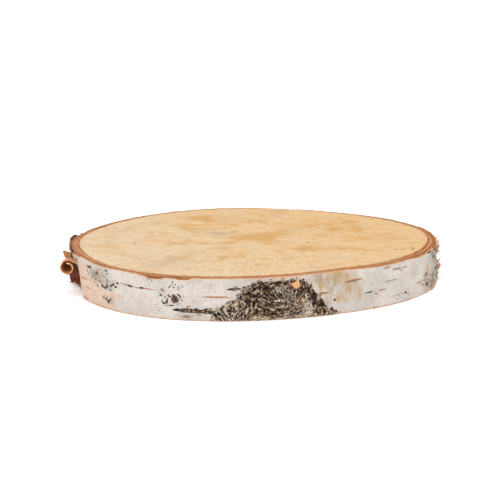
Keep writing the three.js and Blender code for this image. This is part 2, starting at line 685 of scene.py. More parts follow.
FRONT_MARKS = (
    # lenticels and torn lines in the fresh bark at the left
    *marks(Tone.BLACK, (-57.3, 24.5, 8, 1.2, 0.5)),
    *marks(
        Tone.RED,
        (-61, 14.8, 16, 0.8, 0.9), (-57.5, 9.8, 13, 0.6, 0.5), (-60, 2.2, 12, 0.8), (-50, 1.3, 16, 0.5),
    ),
    # the old healed scrape
    *marks(
        Tone.GREY,
        (-58.2, 21.6, 1.2, 2.6), (-57.3, 19.6, 1.8, 1.4, -1.6), (-55.5, 17.6, 2.6, 0.9, -2),
        (-53.4, 15.9, 2.6, 0.9, -1.8), (-56, 22.5, 1.2, 4), (-54.5, 19.3, 3.2, 1.8, -1), (-53, 18, 4, 1),
        (-50.6, 25.6, 2.4, 0.8), (-50.5, 17.4, 4.4, 1.2, -0.6), (-45.4, 16.3, 2.2, 0.9, 0.4),
        (-48, 21.6, 3, 0.8, -0.8), (-46.2, 19.5, 3.2, 0.9, -1), (-45, 13.6, 3.6, 1.3),
        (-46.6, 23.9, 2.2, 1.4, 0.5),
    ),
    *marks(
        Tone.BLACK,
        (-51.6, 14.1, 2.6, 1, -2), (-52, 22.4, 2.8, 1.3, 0.4), (-48.9, 14.9, 2.8, 1.8, -0.8),
        (-47.8, 14, 3, 0.9), (-46.6, 15.5, 2.6, 1.5, 0.8), (-44.5, 16.9, 2.2, 1.1, 0.4),
        (-43.6, 18, 2.6, 1.2, 0.5), (-42.7, 16.5, 2.8, 1.2), (-47.2, 25.9, 3.4, 1.1, -0.4),
    ),
    # the row of short lenticels to its right
    *marks(
        Tone.BLACK,
        (-42, 19.4, 2.2, 1.2, 0.3), (-36.9, 19.2, 3.4, 1.1, -0.2), (-32.9, 19.2, 3.2, 1.1, 0.2),
    ),
    *marks(Tone.GREY, (-26.4, 19.5, 3, 1.2)),
    *marks(Tone.RED, (-38.6, 19.6, 10, 0.9, -0.4), (-32.5, 18.9, 18, 0.9)),
    # the small scar low on the left
    *marks(
        Tone.BLACK,
        (-48.4, 7.5, 1.5, 1.6, -1), (-47.2, 6.7, 2.6, 1, -0.4), (-46.1, 5.6, 2.5, 2, 0.8),
        (-45.1, 7.2, 2.8, 0.8, 0.6),
    ),
    *marks(Tone.GREY, (-44.7, 5.2, 1.6, 1), (-46.8, 8.1, 2.2, 0.6)),
    # flecks under the rim and round the twig's pock
    *marks(
        Tone.BLACK,
        (-30.3, 26.1, 2.6, 1, 0.3), (-28.4, 26.4, 3.4, 0.8), (-24.1, 21.7, 1.2, 1), (-22.8, 21.4, 1.6, 0.6),
        (-21.6, 20.4, 1.2, 0.6), (-26.7, 15.9, 1.8, 1.2), (-25.6, 10.7, 2.8, 1.2, 0.3), (-24.8, 12, 1.6, 2),
        (-23.6, 9.6, 4, 0.6), (-23.9, 15.4, 1.8, 1, 0.5), (-22.9, 16.7, 2.2, 0.7, 0.3),
        (-21, 16.2, 1.8, 1, -0.4), (-24.6, 13.9, 1.8, 0.7), (-25.4, 14.8, 2, 0.6, -0.5),
        (-24.4, 16.2, 1.2, 1, 0.8), (-24.9, 9.2, 2.6, 0.5, 0.3), (-26.4, 11.9, 2, 0.5, 0.4),
        (-21.6, 17.3, 1.2, 0.8, -0.6), (-20, 15.7, 1.6, 0.5, 0.5), (-20.2, 13.2, 1.4, 0.6, -0.4),
        (-25.9, 18.6, 1.4, 0.6, 0.5), (-23.2, 24.9, 1.8, 0.6, 0.2), (-22.2, 23.3, 0.8, 0.9),
        (-20.2, 22.2, 0.9, 0.6),
    ),
    *marks(
        Tone.GREY,
        (-26.8, 26.2, 1.6, 0.7), (-29.6, 24.9, 0.8, 2), (-23.6, 23.2, 1, 0.8), (-21.4, 21.7, 1.6, 0.7),
        (-24.8, 24.4, 0.9, 0.7), (-20.8, 23.6, 0.9, 0.7), (-18.6, 24.6, 1, 0.7), (-27.4, 15, 1.2, 0.7),
        (-20.8, 14.8, 1.4, 1.2), (-26.2, 13, 1.4, 0.7), (-22.6, 11.4, 2.4, 0.6), (-21.4, 11, 1.6, 0.6, 0.4),
        (-27.2, 17.4, 0.9, 0.7), (-19.2, 20.2, 0.8, 0.5), (-27.9, 9.4, 0.9, 0.5),
    ),
    # the long cracked lenticel and what lies round it
    *marks(
        Tone.BLACK,
        (-17.1, 6.7, 24, 1.9), (-21.7, 6.9, 5, 1.7, -0.3), (-19.9, 6.8, 6, 2.4), (-17.9, 6.8, 6, 2.2, 0.2),
        (-15.9, 6.6, 6, 2.3), (-13.9, 6.5, 6, 2.4, -0.2), (-12.2, 6.3, 5, 2.2), (-18.9, 8.3, 3, 0.8, 0.4),
        (-16.2, 8.2, 3.4, 0.7, -0.3), (-13.4, 8, 2.6, 0.8, 0.3), (-5.4, 21.3, 9.5, 1.4, 0.4),
    ),
    *marks(
        Tone.GREY,
        (-18.4, 9.7, 3.2, 0.9), (-12.4, 8.6, 6, 0.9), (-19.2, 2.7, 5, 1.5, 0.4), (-15.5, 4.2, 5, 0.8),
        (-27.3, 5.7, 1.6, 0.8), (-4.9, 22.6, 3, 0.9),
    ),
    *marks(Tone.RED, (-10.7, 16.1, 21, 1.1), (-1.4, 21.6, 10, 0.8, 0.2)),
    # right of the branch scar
    *marks(
        Tone.RED,
        (22.8, 15.2, 9.5, 1.6, -0.3), (28.7, 1.5, 3, 0.7), (34.3, 20.9, 15, 1.7, 0.9), (47.7, 26, 6.2, 1.2),
        (52, 23.9, 6, 0.9, -0.2), (54.5, 22.2, 2.8, 0.9, -0.3), (45.3, 11.9, 10, 0.8), (58.3, 0.8, 3, 0.9),
        (42.4, 0.9, 3.6, 0.9), (68.3, 10.3, 7, 1, 0.2), (67.6, 7.4, 5, 1.2, -3),
    ),
    *marks(
        Tone.BLACK,
        (26.7, 10.1, 1.8, 1.3), (25.7, 3.7, 3.2, 2.6, -1.4), (27.1, 2.4, 3.6, 1.7, -0.8),
        (40.2, 11.8, 9, 0.6, 0.3), (56.5, 6.4, 4, 0.8, 0.2),
    ),
    *marks(
        Tone.GREY,
        (33.4, 20.5, 6, 0.9, 0.5), (52.4, 23.9, 10, 0.9, -0.2), (56, 23.8, 5.6, 0.8, 0.5),
        (50, 16.9, 15, 0.6, 0.3), (42.8, 10.2, 3, 0.8, -0.4), (53, 6.1, 13, 0.6),
        (58.3, 4.4, 4.5, 0.6, -3.6), (65, 10, 8, 0.8), (69.2, 12.6, 5, 0.7, -0.6),
    ),
    # the rough right side
    *marks(
        Tone.BLACK,
        (70.6, 13.4, 3.6, 2.4), (71.3, 6, 3.8, 2.4), (73.6, 27.3, 9, 1.1, -0.4), (79.6, 21.6, 8, 1.2, -0.7),
        (81.5, 26.2, 12, 2, -0.8), (83, 12.5, 8, 1.2, -0.4), (87.5, 22, 10, 1.4, 0.3),
        (86, 6, 10, 1.6, 0.4),
    ),
    *marks(
        Tone.GREY,
        (76.6, 6.2, 9, 2.4, 0.4), (75.5, 3.2, 7, 2, 0.3), (78, 9.8, 9, 1.4, -0.6),
        (77.5, 24.5, 12, 1.6, -1.4), (84.5, 17, 6, 1.4, 0.5), (91, 13.5, 9, 1.2),
    ),
)

FRONT_STAINS = (
    *stains(
        Tint.PEACH,
        (-60, 7.5, 22, 8.5, 1), (-50, 4.5, 16, 5, 0.8), (-54, 13.5, 13, 4, 0.8), (-62, 21, 9, 6.5, 0.9),
        (-44.5, 10.7, 15, 1.4, 0.9), (63, 3.4, 10, 3, 0.45),
    ),
    *stains(
        Tint.TAN,
        (-51.5, 23, 8, 5, 0.5), (-44, 5.5, 2.2, 4, 0.35), (28.4, 26, 2.8, 3.6, 0.95), (26, 24, 6, 4, 0.50),
        (30.5, 25.5, 7, 4, 0.35), (32.4, 17, 2.4, 4.2, 0.80), (35.4, 15, 3.4, 5.4, 0.65),
        (36.3, 11.5, 1.4, 3, 0.50), (29, 10.6, 6, 2.6, 0.70), (30, 18, 10, 9, 0.34), (21.5, 20, 5, 6, 0.45),
        (23.5, 10, 5, 7, 0.35), (22, 23, 6, 5, 0.45), (33.5, 24, 5, 3, 0.30), (60.3, 18, 4, 3, 0.35),
        (62, 22.5, 5, 5, 0.25), (66.5, 8.2, 8, 2.6, 0.40), (73, 17, 9, 4, 0.20), (72, 12, 5, 9, 0.45),
    ),
    *stains(
        Tint.ASH,
        (-52.5, 21, 7, 4.5, 0.85), (-46.5, 17, 8, 3.5, 0.75), (-46.2, 6.6, 5, 3, 0.40),
        (-38, 4, 14, 6, 0.10), (-12, 24, 1.6, 3, 0.30), (-19, 2.5, 7, 2, 0.40), (25.2, 18, 2.8, 3, 0.40),
        (24.6, 11, 4, 4.5, 0.22), (22.5, 23.5, 5, 3, 0.30), (22.5, 4, 4, 4, 0.35), (21, 26, 5, 3, 0.40),
        (27.5, 21, 4, 5, 0.22), (41.8, 8, 5, 3, 0.22), (52, 17, 16, 3, 0.08), (81, 24, 12, 7, 1.2),
        (77, 7, 12, 6, 0.95), (85, 13, 12, 12, 0.95), (93, 14, 16, 14, 0.70), (70.8, 9.8, 4, 6, 0.75),
    ),
)

KNOTS = (Knot(-22.5, 13.9, 2.5, 0.6), Knot(141, 18, 2.4, 0.6), Knot(-146, 9, 1.7, 0.6))


def marks_behind(seed: int) -> tuple[tuple[Mark, ...], tuple[Stain, ...]]:
    """Draws the lenticels, flecks and stains of the side that faces away from the front.

    Args:
        seed: which draw.

    Returns:
        The marks and the stains.
    """
    rng = np.random.default_rng(seed)
    drawn: list[Mark] = []
    washed: list[Stain] = []
    for _ in range(44):
        bearing, level = rng.uniform(97, 258), rng.uniform(1.5, 27)
        length = rng.uniform(5, 24)
        tone = (Tone.RED, Tone.GREY, Tone.BLACK)[rng.choice(3, p=(0.45, 0.3, 0.25))]
        drawn.append(Mark(bearing, level, length, 0.5 + length * 0.045, tone, rng.uniform(-0.5, 0.5)))
    for middle in (118, 141, 171, 207, 214, 236):
        level = rng.uniform(7, 21)
        for _ in range(16):
            bearing = middle + rng.normal(0, 2.6)
            size = rng.uniform(1.0, 3.2)
            tone = Tone.BLACK if rng.random() < 0.6 else Tone.GREY
            rise = rng.uniform(-0.8, 0.8)
            middle_level = level + rng.normal(0, 3)
            drawn.append(Mark(bearing, middle_level, size, size * rng.uniform(0.4, 0.8), tone, rise))
        washed.append(Stain(middle, level, 9, 5, Tint.ASH, 0.45))
    for _ in range(16):
        bearing, level = rng.uniform(100, 262), rng.uniform(2, 26)
        tint = (Tint.PEACH, Tint.TAN, Tint.ASH)[rng.integers(3)]
        half_length, half_height = rng.uniform(4, 16), rng.uniform(2, 6)
        washed.append(Stain(bearing, level, half_length, half_height, tint, rng.uniform(0.25, 0.7)))
    drawn.append(Mark(188, 13, 34, 3.4, Tone.BLACK, 0.6))
    drawn.append(Mark(192, 12, 22, 3.0, Tone.BLACK, -0.6))
    return tuple(drawn), tuple(washed)


class BarkPattern:
    """All that is drawn in the white bark, read at any bearing and level."""

    def __init__(self, trunk: Trunk) -> None:
        """Gathers the marks.

        Args:
            trunk: the log.
        """
        self.trunk = trunk
        behind_marks, behind_stains = marks_behind(5)
        self.marks = FRONT_MARKS + behind_marks
        self.stains = FRONT_STAINS + behind_stains
        self.arc = trunk.mean_radius * DEGREE
        self.wobble = Noise(21)
        self.swell = Noise(22)

    def skin(self, bearing: np.ndarray, level: np.ndarray) -> tuple[np.ndarray, ...]:
        """Places on a plain cylinder, where noise has no seam."""
        return tuple(np.moveaxis(self.trunk.place(bearing, self.trunk.mean_radius, level), -1, 0))

    def tones(self, bearing: np.ndarray, level: np.ndarray) -> list[np.ndarray]:
        """How strong each tone of mark is.

        Args:
            bearing: degrees round the log.
            level: heights.

        Returns:
            One array for each Tone, in its order, from 0 to 1.
        """
        x, y, z = self.skin(bearing, level)
        ragged = 0.42 * self.wobble.layers(x / 1.5, y / 1.5, z / 0.7, 3, 0.6)
        found = [np.zeros(len(bearing)) for _ in Tone]
        for mark in self.marks:
            along = turn_to(bearing, mark.bearing) * self.arc / (mark.length * 0.55)
            near = np.flatnonzero(np.abs(along) < 1.4)
            up = level[near] - mark.level - mark.rise * along[near] / 2
            half = mark.height * (0.5 if mark.tone is Tone.RED else 0.64)
            inside = (1 - along[near] ** 2) * half - np.abs(up) + ragged[near]
            value = np.clip(0.5 + inside / 0.5, 0, 1)
            layer = found[mark.tone.value]
            layer[near] = np.maximum(layer[near], value)
        return found

    def tints(self, bearing: np.ndarray, level: np.ndarray) -> list[np.ndarray]:
        """How strong each stain is.

        Args:
            bearing: degrees round the log.
            level: heights.

        Returns:
            One array for each Tint, in its order, from 0 to 1.
        """
        x, y, z = self.skin(bearing, level)
        found = [np.zeros(len(bearing)) for _ in Tint]
        for stain in self.stains:
            across = turn_to(bearing, stain.bearing) * self.arc / stain.half_length
            up = (level - stain.level) / stain.half_height
            layer = found[stain.tint.value]
            layer += stain.strength * np.exp(-(across**2) - up**2)
        torn = 0.22 * self.wobble.layers(x / 9, y / 9, z / 2.5, 3)
        blotchy = 1 + 0.9 * self.wobble.layers(x / 2.6, y / 2.6, z / 4.5 + 30, 4, 0.65)
        peach = Tint.PEACH.value
        found[peach] = smooth(found[peach] + torn, 0.32, 0.55)
        return [layer if index == peach else layer * blotchy for index, layer in enumerate(found)]

    def pocks(self, bearing: np.ndarray, level: np.ndarray) -> tuple[np.ndarray, np.ndarray]:
        """The pocks that twigs left.

        Args:
            bearing: degrees round the log.
            level: heights.

        Returns:
            How much each point is in a pock, from 0 to 1, and its height in millimetres.
        """
        inside, height = np.zeros(len(bearing)), np.zeros(len(bearing))
        for knot in KNOTS:
            across = turn_to(bearing, knot.bearing) * self.arc
            away = np.hypot(across, level - knot.level) / knot.radius
            away = away + 0.25 * self.wobble.at(across / 1.3, level / 1.3, knot.bearing)
            inside = np.maximum(inside, smooth(1.15 - away, 0, 0.3))
            height += 0.35 * np.exp(-((away - 1.35) ** 2) / 0.06) - knot.depth * smooth(1.1 - away, 0, 0.5)
        return inside, height

    def relief(self, bearing: np.ndarray, level: np.ndarray, tones: list[np.ndarray]) -> np.ndarray:
        """Height of the white bark above the plain log.

        Args:
            bearing: degrees round the log.
            level: heights.
            tones: what `tones` gives there.

        Returns:
            Millimetres.
        """
        x, y, z = self.skin(bearing, level)
        grey, black, red = tones
        height = 0.35 * self.swell.layers(x / 24, y / 24, z / 18, 2)
        height += 0.10 * self.swell.layers(x / 8, y / 8, z / 1.6 + 5, 2)
        height += 0.16 * (grey + red) + 0.25 * black
        rough = self.swell.layers(x / 1.6, y / 1.6, z / 1.1, 2)
        side = smooth(90 - np.abs(turn_to(bearing, 92)), 64, 78)
        height += rough * (0.35 * black + 0.12 * grey + 0.25 * side)
        return height + self.pocks(bearing, level)[1]


@dataclass(frozen=True)
class Zone:
    """Part of the branch scar with a cast of its own, sized in degrees and millimetres."""

    bearing: float
    level: float
    half_width: float
    half_height: float
    strength: float

    def at(self, bearing: np.ndarray, level: np.ndarray) -> np.ndarray:
        """How strong the cast is.

        Args:
            bearing: degrees round the log.
            level: heights.

        Returns:
            Numbers, strongest at the zone's middle.
        """
        across = turn_to(bearing, self.bearing) / self.half_width
        return self.strength * np.exp(-(across**2) - ((level - self.level) / self.half_height) ** 2)


@dataclass(frozen=True)
class Patch:
    """Part of the branch scar whose cracks run one way, sized in degrees and millimetres."""

    bearing: float
    level: float
    half_width: float
    half_height: float
    slant: float

    def at(self, bearing: np.ndarray, level: np.ndarray) -> np.ndarray:
        """How near a place is to the patch's middle, as less than 0."""
        across = turn_to(bearing, self.bearing) / self.half_width
        return -(across**2) - ((level - self.level) / self.half_height) ** 2


@dataclass(frozen=True)
class BranchScar:
    """The black, cracked callus that closed over a dead branch."""

    bearing: float = 10.0
    # Its outline, as bearing and level.
    crown: tuple[tuple[float, float], ...] = (
        (-13, -2), (-12, 3), (-10.5, 9), (-8, 11), (-5.5, 14), (-4.2, 18), (-3, 21.5), (-1, 24.5),
        (2, 26.3), (9, 26.6), (13, 25.8), (16.5, 25), (18.6, 22), (19.6, 18.5), (21, 14.5),
        (22.8, 11.5), (23.4, 7), (24.4, 4), (27, 2), (29, -1),
    )
    dark: tuple[Zone, ...] = (
        Zone(19.3, 14, 1.5, 5, 0.7), Zone(21.5, 8, 1.3, 4, 0.7), Zone(-0.5, 15, 2, 6, 0.45),
        Zone(-5, 6, 4, 5, 0.20), Zone(-9.5, 4, 3, 3, 0.25), Zone(3, 20, 3, 3, 0.35),
        Zone(5, 24.6, 6, 0.9, 0.55), Zone(15, 18, 3, 4.5, 0.40), Zone(17.0, 7, 1.5, 6, -0.8),
        Zone(8, 20.4, 1.3, 1.6, -0.7), Zone(12, 16.5, 2.2, 3, -0.35), Zone(0.5, 3.5, 1.5, 2.0, -0.35),
        Zone(8, 1.0, 8, 1.4, -0.55), Zone(20.5, 20, 2, 3, -0.1), Zone(5.5, 11, 3, 3.5, -0.15),
        Zone(17.5, 23, 3, 2.5, 0.35),
    )
    umber: tuple[Zone, ...] = (
        Zone(5.5, 10.5, 3.6, 5, 1.1), Zone(3, 19, 4, 4, 0.6), Zone(14, 7, 3.5, 5, 0.45),
        Zone(10, 9, 3, 3, 0.5), Zone(19.5, 14, 2.5, 7, 0.3),
    )
    patches: tuple[Patch, ...] = (
        Patch(-10, 3, 4, 4, -60), Patch(-6, 9, 3, 5, 50), Patch(-3, 15, 3, 6, -65), Patch(0, 20, 4, 4, 25),
        Patch(5, 25, 8, 2, 5), Patch(-1, 7, 2.5, 6, 75), Patch(5.5, 12, 4, 5, -35), Patch(9, 20, 2.5, 4, -58),
        Patch(6, 2.5, 8, 2.5, 3), Patch(13.5, 7, 3.4, 5, 42), Patch(12.5, 16, 3, 3, 36),
        Patch(18, 20, 3, 4, 70), Patch(19, 13, 3, 5, -52), Patch(22, 7, 2.5, 6, -66),
        Patch(17, 6, 1.6, 8, -62),
    )
    pale: tuple[Zone, ...] = (
        Zone(-7.5, 6, 6.0, 9, 1.2), Zone(17.0, 7, 2.2, 8, 1.2), Zone(8, 20.4, 1.6, 2, 0.9),
        Zone(8, 0.8, 10, 1.8, 0.7), Zone(6, 26.2, 8, 1.3, 0.9), Zone(-3, 21, 3, 4, 0.7),
        Zone(22, 13, 2, 6, 0.55), Zone(12.5, 4.5, 3, 1.2, 0.5), Zone(20, 22, 3, 3, 0.7),
    )
    moss: tuple[Zone, ...] = (
        Zone(11.2, 17, 2.8, 4.5, 1.0), Zone(7.5, 15, 2, 4, 0.5), Zone(5.5, 9, 3, 2, 0.3),
    )
    rust: tuple[Zone, ...] = (
        Zone(16, 20, 4, 5, 1.3), Zone(20, 15, 3, 3, 0.6), Zone(6, 12, 14, 12, 0.30),
        Zone(3, 24.3, 6, 1.5, 0.6), Zone(12, 23, 3, 2, 0.6), Zone(1, 17, 3, 4, 0.4),
    )

    def fields(self, trunk: Trunk, bearing: np.ndarray, level: np.ndarray) -> dict[str, np.ndarray]:
        """Everything that the scar is made of.

        Args:
            trunk: the log.
            bearing: degrees round the log.
            level: heights.

        Returns:
            `mask` of the scar, its `crack`, `pale`, `moss`, `rust`, `umber` and `ridge` from
            0 to 1, and its `height` in millimetres.
        """
        noise = Noise(31)
        arc = trunk.mean_radius * DEGREE
        across = turn_to(bearing, self.bearing) * arc
        bearings, crowns = zip(*self.crown)
        top = np.interp(turn_to(bearing, 0), bearings, crowns)
        warp = noise.layers(across / 2.6, level / 2.2, 4.4, 3, 0.7)
        depth = np.minimum(top - level, 30) + 2.6 * warp
        mask = smooth(depth, -0.3, 0.7)
        # The callus broke into patches, each cracked along its own grain.
        slant = self.slants(bearing, level, warp) * DEGREE
        along = across * np.cos(slant) + level * np.sin(slant)
        over = level * np.cos(slant) - across * np.sin(slant) + 0.5 * warp
        coarse = noise.at(along / 3.4, over / 0.95, slant)
        fine = noise.at(along / 2.0, over / 0.50, slant + 7.5)
        chips = noise.layers(across / 1.3, level / 1.3, 12.5, 2)
        lean = sum(zone.at(bearing, level) for zone in self.dark)
        rough = 0.90 * coarse + 0.55 * fine + 0.60 * chips + 0.75 * lean - 0.10
        crack = smooth(rough - 0.25 * smooth(0.8 - depth, 0, 1.6), 0.0, 0.18) * smooth(depth, -1.4, -0.6)
        cast = {"pale": self.pale, "moss": self.moss, "rust": self.rust, "umber": self.umber}
        tones = {
            name: np.clip(sum(zone.at(bearing, level) for zone in zones) + 0.45 * chips, 0, 1)
            for name, zones in cast.items()
        }
        # This field places the painted highlights on ridges and the painted shade in furrows.
        ridge = noise.at(along / 2.6, over / 0.62, slant + 3.3)
        tones["ridge"] = np.clip(0.5 + 0.7 * ridge + 0.3 * fine, 0, 1)
        plates = smooth(rough, 0.3, -0.5)
        height = mask * (0.25 + 1.0 * plates + 0.25 * fine - 0.55 * smooth(rough, 0.15, 0.6))
        return {"mask": mask, "crack": crack, "height": height, **tones}

    def slants(self, bearing: np.ndarray, level: np.ndarray, warp: np.ndarray) -> np.ndarray:
        """Which way the cracks run, patch by patch.

        Args:
            bearing: degrees round the log.
            level: heights.
            warp: noise that frays the patches' borders.

        Returns:
            Degrees up from the level.
        """
        near = [one.at(bearing + 1.2 * warp, level + 1.5 * warp) for one in self.patches]
        angles = np.array([one.slant for one in self.patches])
        return angles[np.argmax(near, axis=0)]


# ---------------------------------------------------------------- finishes


@dataclass(frozen=True)
class SawnBirch:
    """Sawn, unfinished birch: cream end grain with amber rays, dry and matt."""

    cream: str = "DDC8A7"
    warm: str = "E1BC85"
    amber: str = "CE9844"
    ash: str = "AE977D"
    ray: str = "B98A58"
    tree_ring: str = "B58B5C"
    pore: str = "A87C4E"
    mottle: str = "BE9460"
    speck: str = "463A30"
    # Each speck's place on the upper face and its size, in millimetres.
    specks: tuple[tuple[float, float, float], ...] = (
        (-81, -11, 0.9), (5, 68, 0.8), (38, -7, 1.0), (75, -45, 0.8), (98, -32, 1.0), (102, -31, 0.8),
        (109, -24, 0.7), (109.6, -27, 0.8), (109.2, -30, 0.8), (108.4, -33, 0.8), (-62, 40, 0.6),
        (47, 88, 0.6),
    )
    roughness: float = 0.62
    pore_size: Size = (0.7, 0.7, 3.5)
    cloud_size: float = 6.667
    mottle_size: float = 3.846
    tree_rings: float = 52
    # The rays run together at the pith, so they fade out from the second radius to the first.
    fade: tuple[float, float] = (10, 85)

    def rays(self, s: Shader, aim: Any, reach: Any, width: float, length: float, detail: float) -> Any:
        """Noise drawn out along the rays.

        Args:
            s: the material.
            aim: the direction away from the pith.
            reach: how far it is from the pith, in metres.
            width: how many lumps there are across one radius.
            length: a lump's length along the ray, in millimetres.
            detail: how many finer layers it has.

        Returns:
            The noise's 0 to 1 socket.
        """
        lift = s.add(Node.FROM_Z, s.add(Node.OVER, reach, length * MM))
        at = s.add(Node.MOVE, s.add(Node.STRETCH, aim, (width, width, 0)), lift)
        return s.add(Node.NOISE, at, 1.0, detail, 0.55)

    def sprinkle(self, s: Shader, base: Any, place: Any, pores: Any, level: float) -> Any:
        """Puts the dark specks on the upper face.

        Args:
            s: the material.
            base: the colour that they lie on.
            place: the socket of the place, in metres.
            pores: noise that frays their edges.
            level: height of the upper face, in millimetres.

        Returns:
            The colour's socket.
        """
        fray = s.add(Node.LESS, pores, 0.5)
        for left, back, size in self.specks:
            away = s.add(Node.DISTANCE, place, (left * MM, back * MM, level * MM))
            ragged = s.add(Node.TIMES_PLUS, fray, 1.2 * MM, away)
            spot = s.add(Node.SPAN, ragged, size * 0.9 * MM, size * 1.4 * MM, 0.95, 0.0)
            base = s.add(Node.MIX, spot, base, self.speck)
        return base

    def material(self, trunk: Trunk) -> bpy.types.Material:
        """Builds the finish.

        Args:
            trunk: the log, for its pith and its upper face.

        Returns:
            The material.
        """
        # Sawn across and left dry, birch shows cream ends of fibres with no shine on them.
        s = Shader("sawn_birch_end_grain")
        place = s.add(Node.PLACE)
        pith = (trunk.pith[0] * MM, trunk.pith[1] * MM, 0)
        spoke = s.add(Node.STRETCH, s.add(Node.MOVE_BACK, place, pith), (1, 1, 0))
        reach = s.add(Node.LENGTH, spoke)
        aim = s.add(Node.AIM, spoke)
        amber, ash, warm = s.channels("grain")
        share = s.add(Node.PLAIN_ATTRIBUTE, attribute_name="ring")
        broad = self.rays(s, aim, reach, 9, 30, 4)
        narrow = self.rays(s, aim, reach, 34, 16, 3)
        hair = self.rays(s, aim, reach, 120, 10, 2)
        ring_place = s.add(Node.FROM_X, s.add(Node.TIMES, share, self.tree_rings))
        tree_rings = s.add(Node.NOISE, ring_place, 1.0, 2, 0.55)
        pores = s.lumps(place, self.pore_size, 2)
        cloud = s.lumps(place, self.cloud_size, 5, 0.6)
        mottle = s.lumps(place, self.mottle_size, 4)
        # Birch colours along its rays, so the amber blotches break into spokes.
        strands = s.add(Node.SUM, s.add(Node.TIMES, broad, 0.4), s.add(Node.TIMES, narrow, 0.3))
        spokes = s.add(Node.SPAN, s.add(Node.TIMES_PLUS, cloud, 0.3, strands), 0.40, 0.60)
        clear = s.add(Node.SPAN, reach, self.fade[0] * MM, self.fade[1] * MM)
        spokes = s.add(Node.TIMES_PLUS, s.add(Node.LESS, spokes, 0.5), clear, 0.5)
        veined = s.add(Node.SUM, s.add(Node.TIMES, spokes, 1.3), 0.25)
        faint = s.add(Node.TIMES, s.add(Node.LESS, spokes, 0.5), 0.28)
        veins = s.add(Node.SUM, s.add(Node.TIMES, amber, veined), faint, use_clamp=True)
        base = s.add(Node.MIX, warm, self.cream, self.warm)
        base = s.add(Node.MIX, veins, base, self.amber)
        streaky = s.add(Node.SUM, s.add(Node.TIMES, narrow, 0.9), 0.4)
        base = s.add(Node.MIX, s.add(Node.TIMES, ash, streaky, use_clamp=True), base, self.ash)
        lines = s.add(Node.SUM, s.add(Node.TIMES, hair, 0.5), s.add(Node.TIMES, narrow, 0.5))
        lines = s.add(Node.TIMES_PLUS, s.add(Node.LESS, lines, 0.52), clear, 0.52)
        base = s.add(Node.MIX, s.add(Node.SPAN, lines, 0.36, 0.60, 0.48, 0.0), base, self.ray)
        base = s.add(Node.MIX, s.add(Node.SPAN, tree_rings, 0.42, 0.62, 0, 0.07), base, self.tree_ring)
        base = s.add(Node.MIX, s.add(Node.SPAN, pores, 0.34, 0.46, 0.30, 0.0), base, self.pore)
        base = s.add(Node.MIX, s.add(Node.SPAN, mottle, 0.36, 0.5, 0.22, 0.0), base, self.mottle)
        base = self.sprinkle(s, base, place, pores, trunk.floor + trunk.thickness)
        relief = s.add(Node.SUM, s.add(Node.TIMES, hair, 0.5), s.add(Node.TIMES, pores, 0.5))
        rough = s.add(Node.SPAN, narrow, 0.3, 0.7, self.roughness - 0.05, self.roughness + 0.08)
        return s.finish(base, rough, relief, 0.25, 0.35)


@dataclass(frozen=True)
class InnerBarkFinish:
    """Birch inner bark: rust-brown corky layers cut across, darkened by painted shade where it is torn."""

    # Colours from the wood outwards.
    layers: tuple[tuple[float, str], ...] = (
        (0.0, "7E4622"), (0.16, "A45E2C"), (0.34, "B87440"), (0.56, "C28C60"), (0.76, "A8602A"),
        (1.0, "924A20"),
    )
    dark: str = "6E3A1C"
    light: str = "D2A078"
    pale: str = "BF9474"
    # painted shade: both colours of the torn side are its own red-brown darkened as if in shade
    torn: str = "270A05"
    fibre: str = "6A2312"
    layer_size: Size = (29.41, 29.41, 16.67)
    crumb_size: float = 1.111
    fibre_size: Size = (11.11, 11.11, 1.4286)
    layer_count: float = 9

    def material(self) -> bpy.types.Material:
        """Builds the finish.

        Returns:
            The material.
        """
        # Corky cells cut by a saw are crumbly and dull, and the torn side is fibrous; its dark red-brown is
        # partly its own colour and partly painted shade.
        s = Shader("birch_inner_bark")
        place = s.add(Node.PLACE)
        depth, pale, side = s.channels("ring")
        counted = s.add(Node.STRETCH, place, tuple(1 / (size * MM) for size in self.layer_size))
        stacked = s.add(Node.FROM_X, s.add(Node.TIMES, depth, self.layer_count))
        layers = s.add(Node.NOISE, s.add(Node.MOVE, stacked, counted), 1.0, 3, 0.55)
        crumbs = s.lumps(place, self.crumb_size)
        both = s.add(Node.SUM, s.add(Node.TIMES, layers, 0.65), s.add(Node.TIMES, crumbs, 0.35))
        sway = s.add(Node.TIMES, s.add(Node.LESS, layers, 0.5), 0.5)
        base = s.add(Node.RAMP, s.add(Node.SUM, depth, sway, use_clamp=True), ramp=self.layers)
        base = s.add(Node.MIX, s.add(Node.SPAN, both, 0.38, 0.52, 0.75, 0.0), base, self.dark)
        base = s.add(Node.MIX, s.add(Node.SPAN, both, 0.52, 0.66, 0.0, 0.6), base, self.light)
        paled = s.add(Node.TIMES, pale, s.add(Node.SPAN, both, 0.30, 0.60), use_clamp=True)
        base = s.add(Node.MIX, paled, base, self.pale)
        fibres = s.lumps(place, self.fibre_size)
        # The torn side's colour is darkened by painted shade.
        skin = s.add(Node.MIX, s.add(Node.SPAN, fibres, 0.35, 0.65), self.torn, self.fibre)
        base = s.add(Node.MIX, side, base, skin)
        relief = s.add(Node.SUM, s.add(Node.TIMES, layers, 0.6), s.add(Node.TIMES, crumbs, 0.4))
        return s.finish(base, 0.85, relief, 0.6, 0.12)


